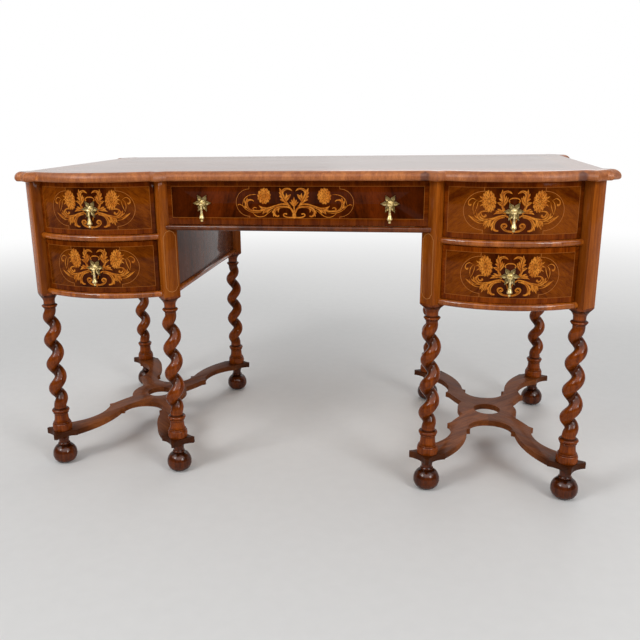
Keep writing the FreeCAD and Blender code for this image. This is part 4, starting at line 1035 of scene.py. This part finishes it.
def addEar(work, near, far, place):
    # A flat ear with a round end, from the plate out to the pin.
    radius = pull["earRadius"]
    eye = pull["eyeForward"]
    outline = [(-pull["earRoot"], radius), (-pull["earRoot"], -radius)]
    for step in range(0, 181, 15):
        angle = math.radians(step)
        outline.append((-eye - radius * math.sin(angle), -radius * math.cos(angle)))
    inset = pull["earEdge"]
    rings = []
    for across, shrink in ((near, inset), (near + inset, 0), (far - inset, 0), (far, inset)):
        ring = []
        for y, z in outline:
            away = Vector((y + eye if y < -eye else 0, z))
            spot = Vector((y, z)) - (away.normalized() * shrink if away.length > 0 else away)
            ring.append(work.verts.new(((place[0] + across) * mm, (place[1] + spot.x) * mm,
                                        (place[2] - pull["eyeDrop"] + spot.y) * mm)))
        rings.append(ring)
    faces = [work.faces.new(rings[0]), work.faces.new(rings[-1])] + skin(work, rings)
    bmesh.ops.recalc_face_normals(work, faces=faces)


def eyeOf(place):
    # Where a drop hangs on its pin.
    return (place[0], place[1] - pull["eyeForward"], place[2] - pull["eyeDrop"])


def pullMesh(places, bow, woodThick):
    stud = pull["stud"]
    nut = pull["nut"]
    edge = pull["nutEdge"]
    nutFace = woodThick + pull["nutGap"]
    nutBack = nutFace + pull["nutThick"]
    studLine = [(0, -1), (stud, -1), (stud, -1), (stud, -nutBack), (stud, -nutBack), (0, -nutBack)]
    nutLine = [(pull["nutBore"], -nutFace), (nut - edge, -nutFace), (nut, -nutFace - edge), (nut, -nutBack + edge),
               (nut - edge, -nutBack), (pull["nutBore"], -nutBack), (pull["nutBore"], -nutFace)]
    work = bmesh.new()
    for place in places:
        spot = {"Place X": place[0] * mm, "Place Y": (place[1] - pull["gap"]) * mm, "Place Z": place[2] * mm}
        for tier in pull["tiers"]:
            size = {"Reach": tier["Reach"] * mm, "Half Width": tier["Half Width"] * mm, "Turn": tier["Turn"]}
            work.from_mesh(grown(petalPlates, {"Bow": bow, **spot, **size}))
        addTurned(work, pull["boss"], alongY, place)
        for sign in (-1, 1):
            near, far = sorted((sign * pull["earGap"], sign * (pull["earGap"] + pull["earThick"])))
            addEar(work, near, far, place)
        addTurned(work, pull["pin"], alongX, eyeOf(place), 20)
        addTurned(work, studLine, alongY, place, 20)
        addTurned(work, nutLine, alongY, place, 6, 0)
    return meshOf(work, "pull", pull["smooth"])


def dropMesh(place):
    neck = pull["neck"]  # the narrow place over the last bead, darkened with painted shade

    def dark(radius, height):
        return neck["stain"] if height < neck["below"] and radius < neck["radius"] else 0

    work = bmesh.new()
    addTurned(work, pull["loop"], alongX, eyeOf(place), 28)
    addTurned(work, pull["drop"], Matrix.Identity(4), eyeOf(place), 36, 4, dark)
    return meshOf(work, "drop", pull["smooth"])


bowFace = desk["bowY"] - desk["faceRadius"]
bow = 1 / (2 * desk["faceRadius"] * mm)
for key, (x, z, kind) in drawers.items():
    if kind == "pedestal":
        standIn("pull_plate_" + key, pullMesh([(x, bowFace, z)], bow, desk["frontThick"]), brass)
        standIn("pull_drop_" + key, dropMesh((x, bowFace, z)), brass)
friezePlaces = {side: (sign * pull["friezeX"], desk["friezeFaceY"], desk["friezeZ"]) for side, sign in sides.items()}
standIn("pull_plates_frieze", pullMesh(friezePlaces.values(), 0, desk["friezeFrontThick"]), brass)
for side, place in friezePlaces.items():
    standIn("pull_drop_frieze_" + side, dropMesh(place), brass)
print("pulls cast and hung")


# ---- Floor, light and camera

view = {"place": (0.2995, -1.9379, 0.8767), "yaw": 0.1893, "pitch": 0.2694, "roll": -0.0173, "lens": 40.99,
        "shift": 0.0466}
yaw, pitch, roll = (view[key] for key in ("yaw", "pitch", "roll"))
forward = Vector((-math.sin(yaw) * math.cos(pitch), math.cos(yaw) * math.cos(pitch), -math.sin(pitch)))
right = Vector((math.cos(yaw), math.sin(yaw), 0))
up = right.cross(forward)
rightTurned = math.cos(roll) * right + math.sin(roll) * up
upTurned = -math.sin(roll) * right + math.cos(roll) * up
lens = bpy.data.cameras.new("camera")
lens.lens = view["lens"]
lens.sensor_width = 36
lens.shift_x = view["shift"]
camera = bpy.data.objects.new("camera", lens)
turnMatrix = Matrix((rightTurned, upTurned, -forward)).transposed().to_4x4()
camera.matrix_world = Matrix.Translation(view["place"]) @ turnMatrix
scene.collection.objects.link(camera)
scene.camera = camera

# The floor is pale paint that fades into the white surroundings, in metres from the desk's middle
ground = {"half": 14, "dark": (0.74, 0.74, 0.735, 1), "light": (0.78, 0.78, 0.775, 1), "fade": (1.3, 4.5),
          "roughness": 0.8, "specular": 0.1}
white = (1, 1, 1, 1)
floorMaterial, bench = newMaterial("paleFloor")
place = bench.place()
away = bench.wire("ShaderNodeVectorMath", {0: place}, {"operation": "LENGTH"}, 1)
paint = bench.wire("ShaderNodeBsdfPrincipled", {
    "Base Color": bench.mix(bench.noise(place, 30, 3), ground["dark"], ground["light"]),
    "Roughness": ground["roughness"], "Specular IOR Level": ground["specular"]})
haze = bench.wire("ShaderNodeEmission", {"Color": white, "Strength": 1.0})
rays = bench.node("ShaderNodeLightPath")
seen = bench.most(Wire(bench, rays.outputs["Is Camera Ray"]), Wire(bench, rays.outputs["Is Glossy Ray"]))
faded = bench.wire("ShaderNodeMixShader", {0: bench.spread(away, *ground["fade"]) * seen, 1: paint, 2: haze})
bench.node("ShaderNodeOutputMaterial", {"Surface": faded})
half = ground["half"]
floorMesh = bpy.data.meshes.new("floor")
floorMesh.from_pydata([(-half, -half, 0), (half, -half, 0), (half, half, 0), (-half, half, 0)], [], [(0, 1, 2, 3)])
floorMesh.materials.append(floorMaterial)
floor = bpy.data.objects.new("floor", floorMesh)
scene.collection.objects.link(floor)

# The surroundings are white to the eye. Reflections see a pale sky and back, a dim front and a soft box high in front.
# Pairs are the heights or depths of a direction between which each of them fades.
studio = {"diffuse": 0.5, "front": 0.08, "sky": 0.72, "box": 2.6, "skyFoot": (0.3, 0.7), "backEdge": (-0.1, 0.6),
          "boxFoot": (0.42, 0.6), "boxTop": (0.84, 0.94), "boxBack": (-0.25, 0.05)}
world = bpy.data.worlds.new("studio")
scene.world = world
world.use_nodes = True
world.node_tree.nodes.clear()
bench = Bench(world.node_tree)
rays = bench.node("ShaderNodeLightPath")
seen = bench.most(Wire(bench, rays.outputs["Is Camera Ray"]), Wire(bench, rays.outputs["Is Transmission Ray"]))
glossy = Wire(bench, rays.outputs["Is Glossy Ray"])
x, backward, upward = bench.axes(bench.wire("ShaderNodeTexCoord", output="Generated"))
bright = bench.most(bench.spread(upward, *studio["skyFoot"]), bench.spread(backward, *studio["backEdge"]))
softBox = bench.spread(upward, *studio["boxFoot"]) * (1 - bench.spread(upward, *studio["boxTop"]))
softBox = softBox * (1 - bench.spread(backward, *studio["boxBack"]))
mirrored = bright * (studio["sky"] - studio["front"]) + studio["front"] + softBox * studio["box"]
level = seen + (1 - seen) * (glossy * mirrored + (1 - glossy) * studio["diffuse"])
surface = bench.wire("ShaderNodeBackground", {"Color": white, "Strength": level})
bench.node("ShaderNodeOutputWorld", {"Surface": surface})

# Each lamp's place, size and power; all look at the desk's middle
lamps = {"key": ((-2.0, -2.4, 2.6), 1.1, 44), "fill": ((2.4, -2.4, 2.0), 1.1, 40), "back": ((0.6, 2.8, 2.6), 2.4, 26)}
target = Vector((0, 0, 0.45))
for name, (place, size, power) in lamps.items():
    light = bpy.data.lights.new(name, "AREA")
    light.size = size
    light.energy = power
    lamp = bpy.data.objects.new(name, light)
    aim = target - Vector(place)
    lamp.matrix_world = Matrix.Translation(place) @ aim.to_track_quat("-Z", "Y").to_matrix().to_4x4()
    scene.collection.objects.link(lamp)
scene.view_settings.view_transform = "Standard"
print("camera, floor and lamps set")
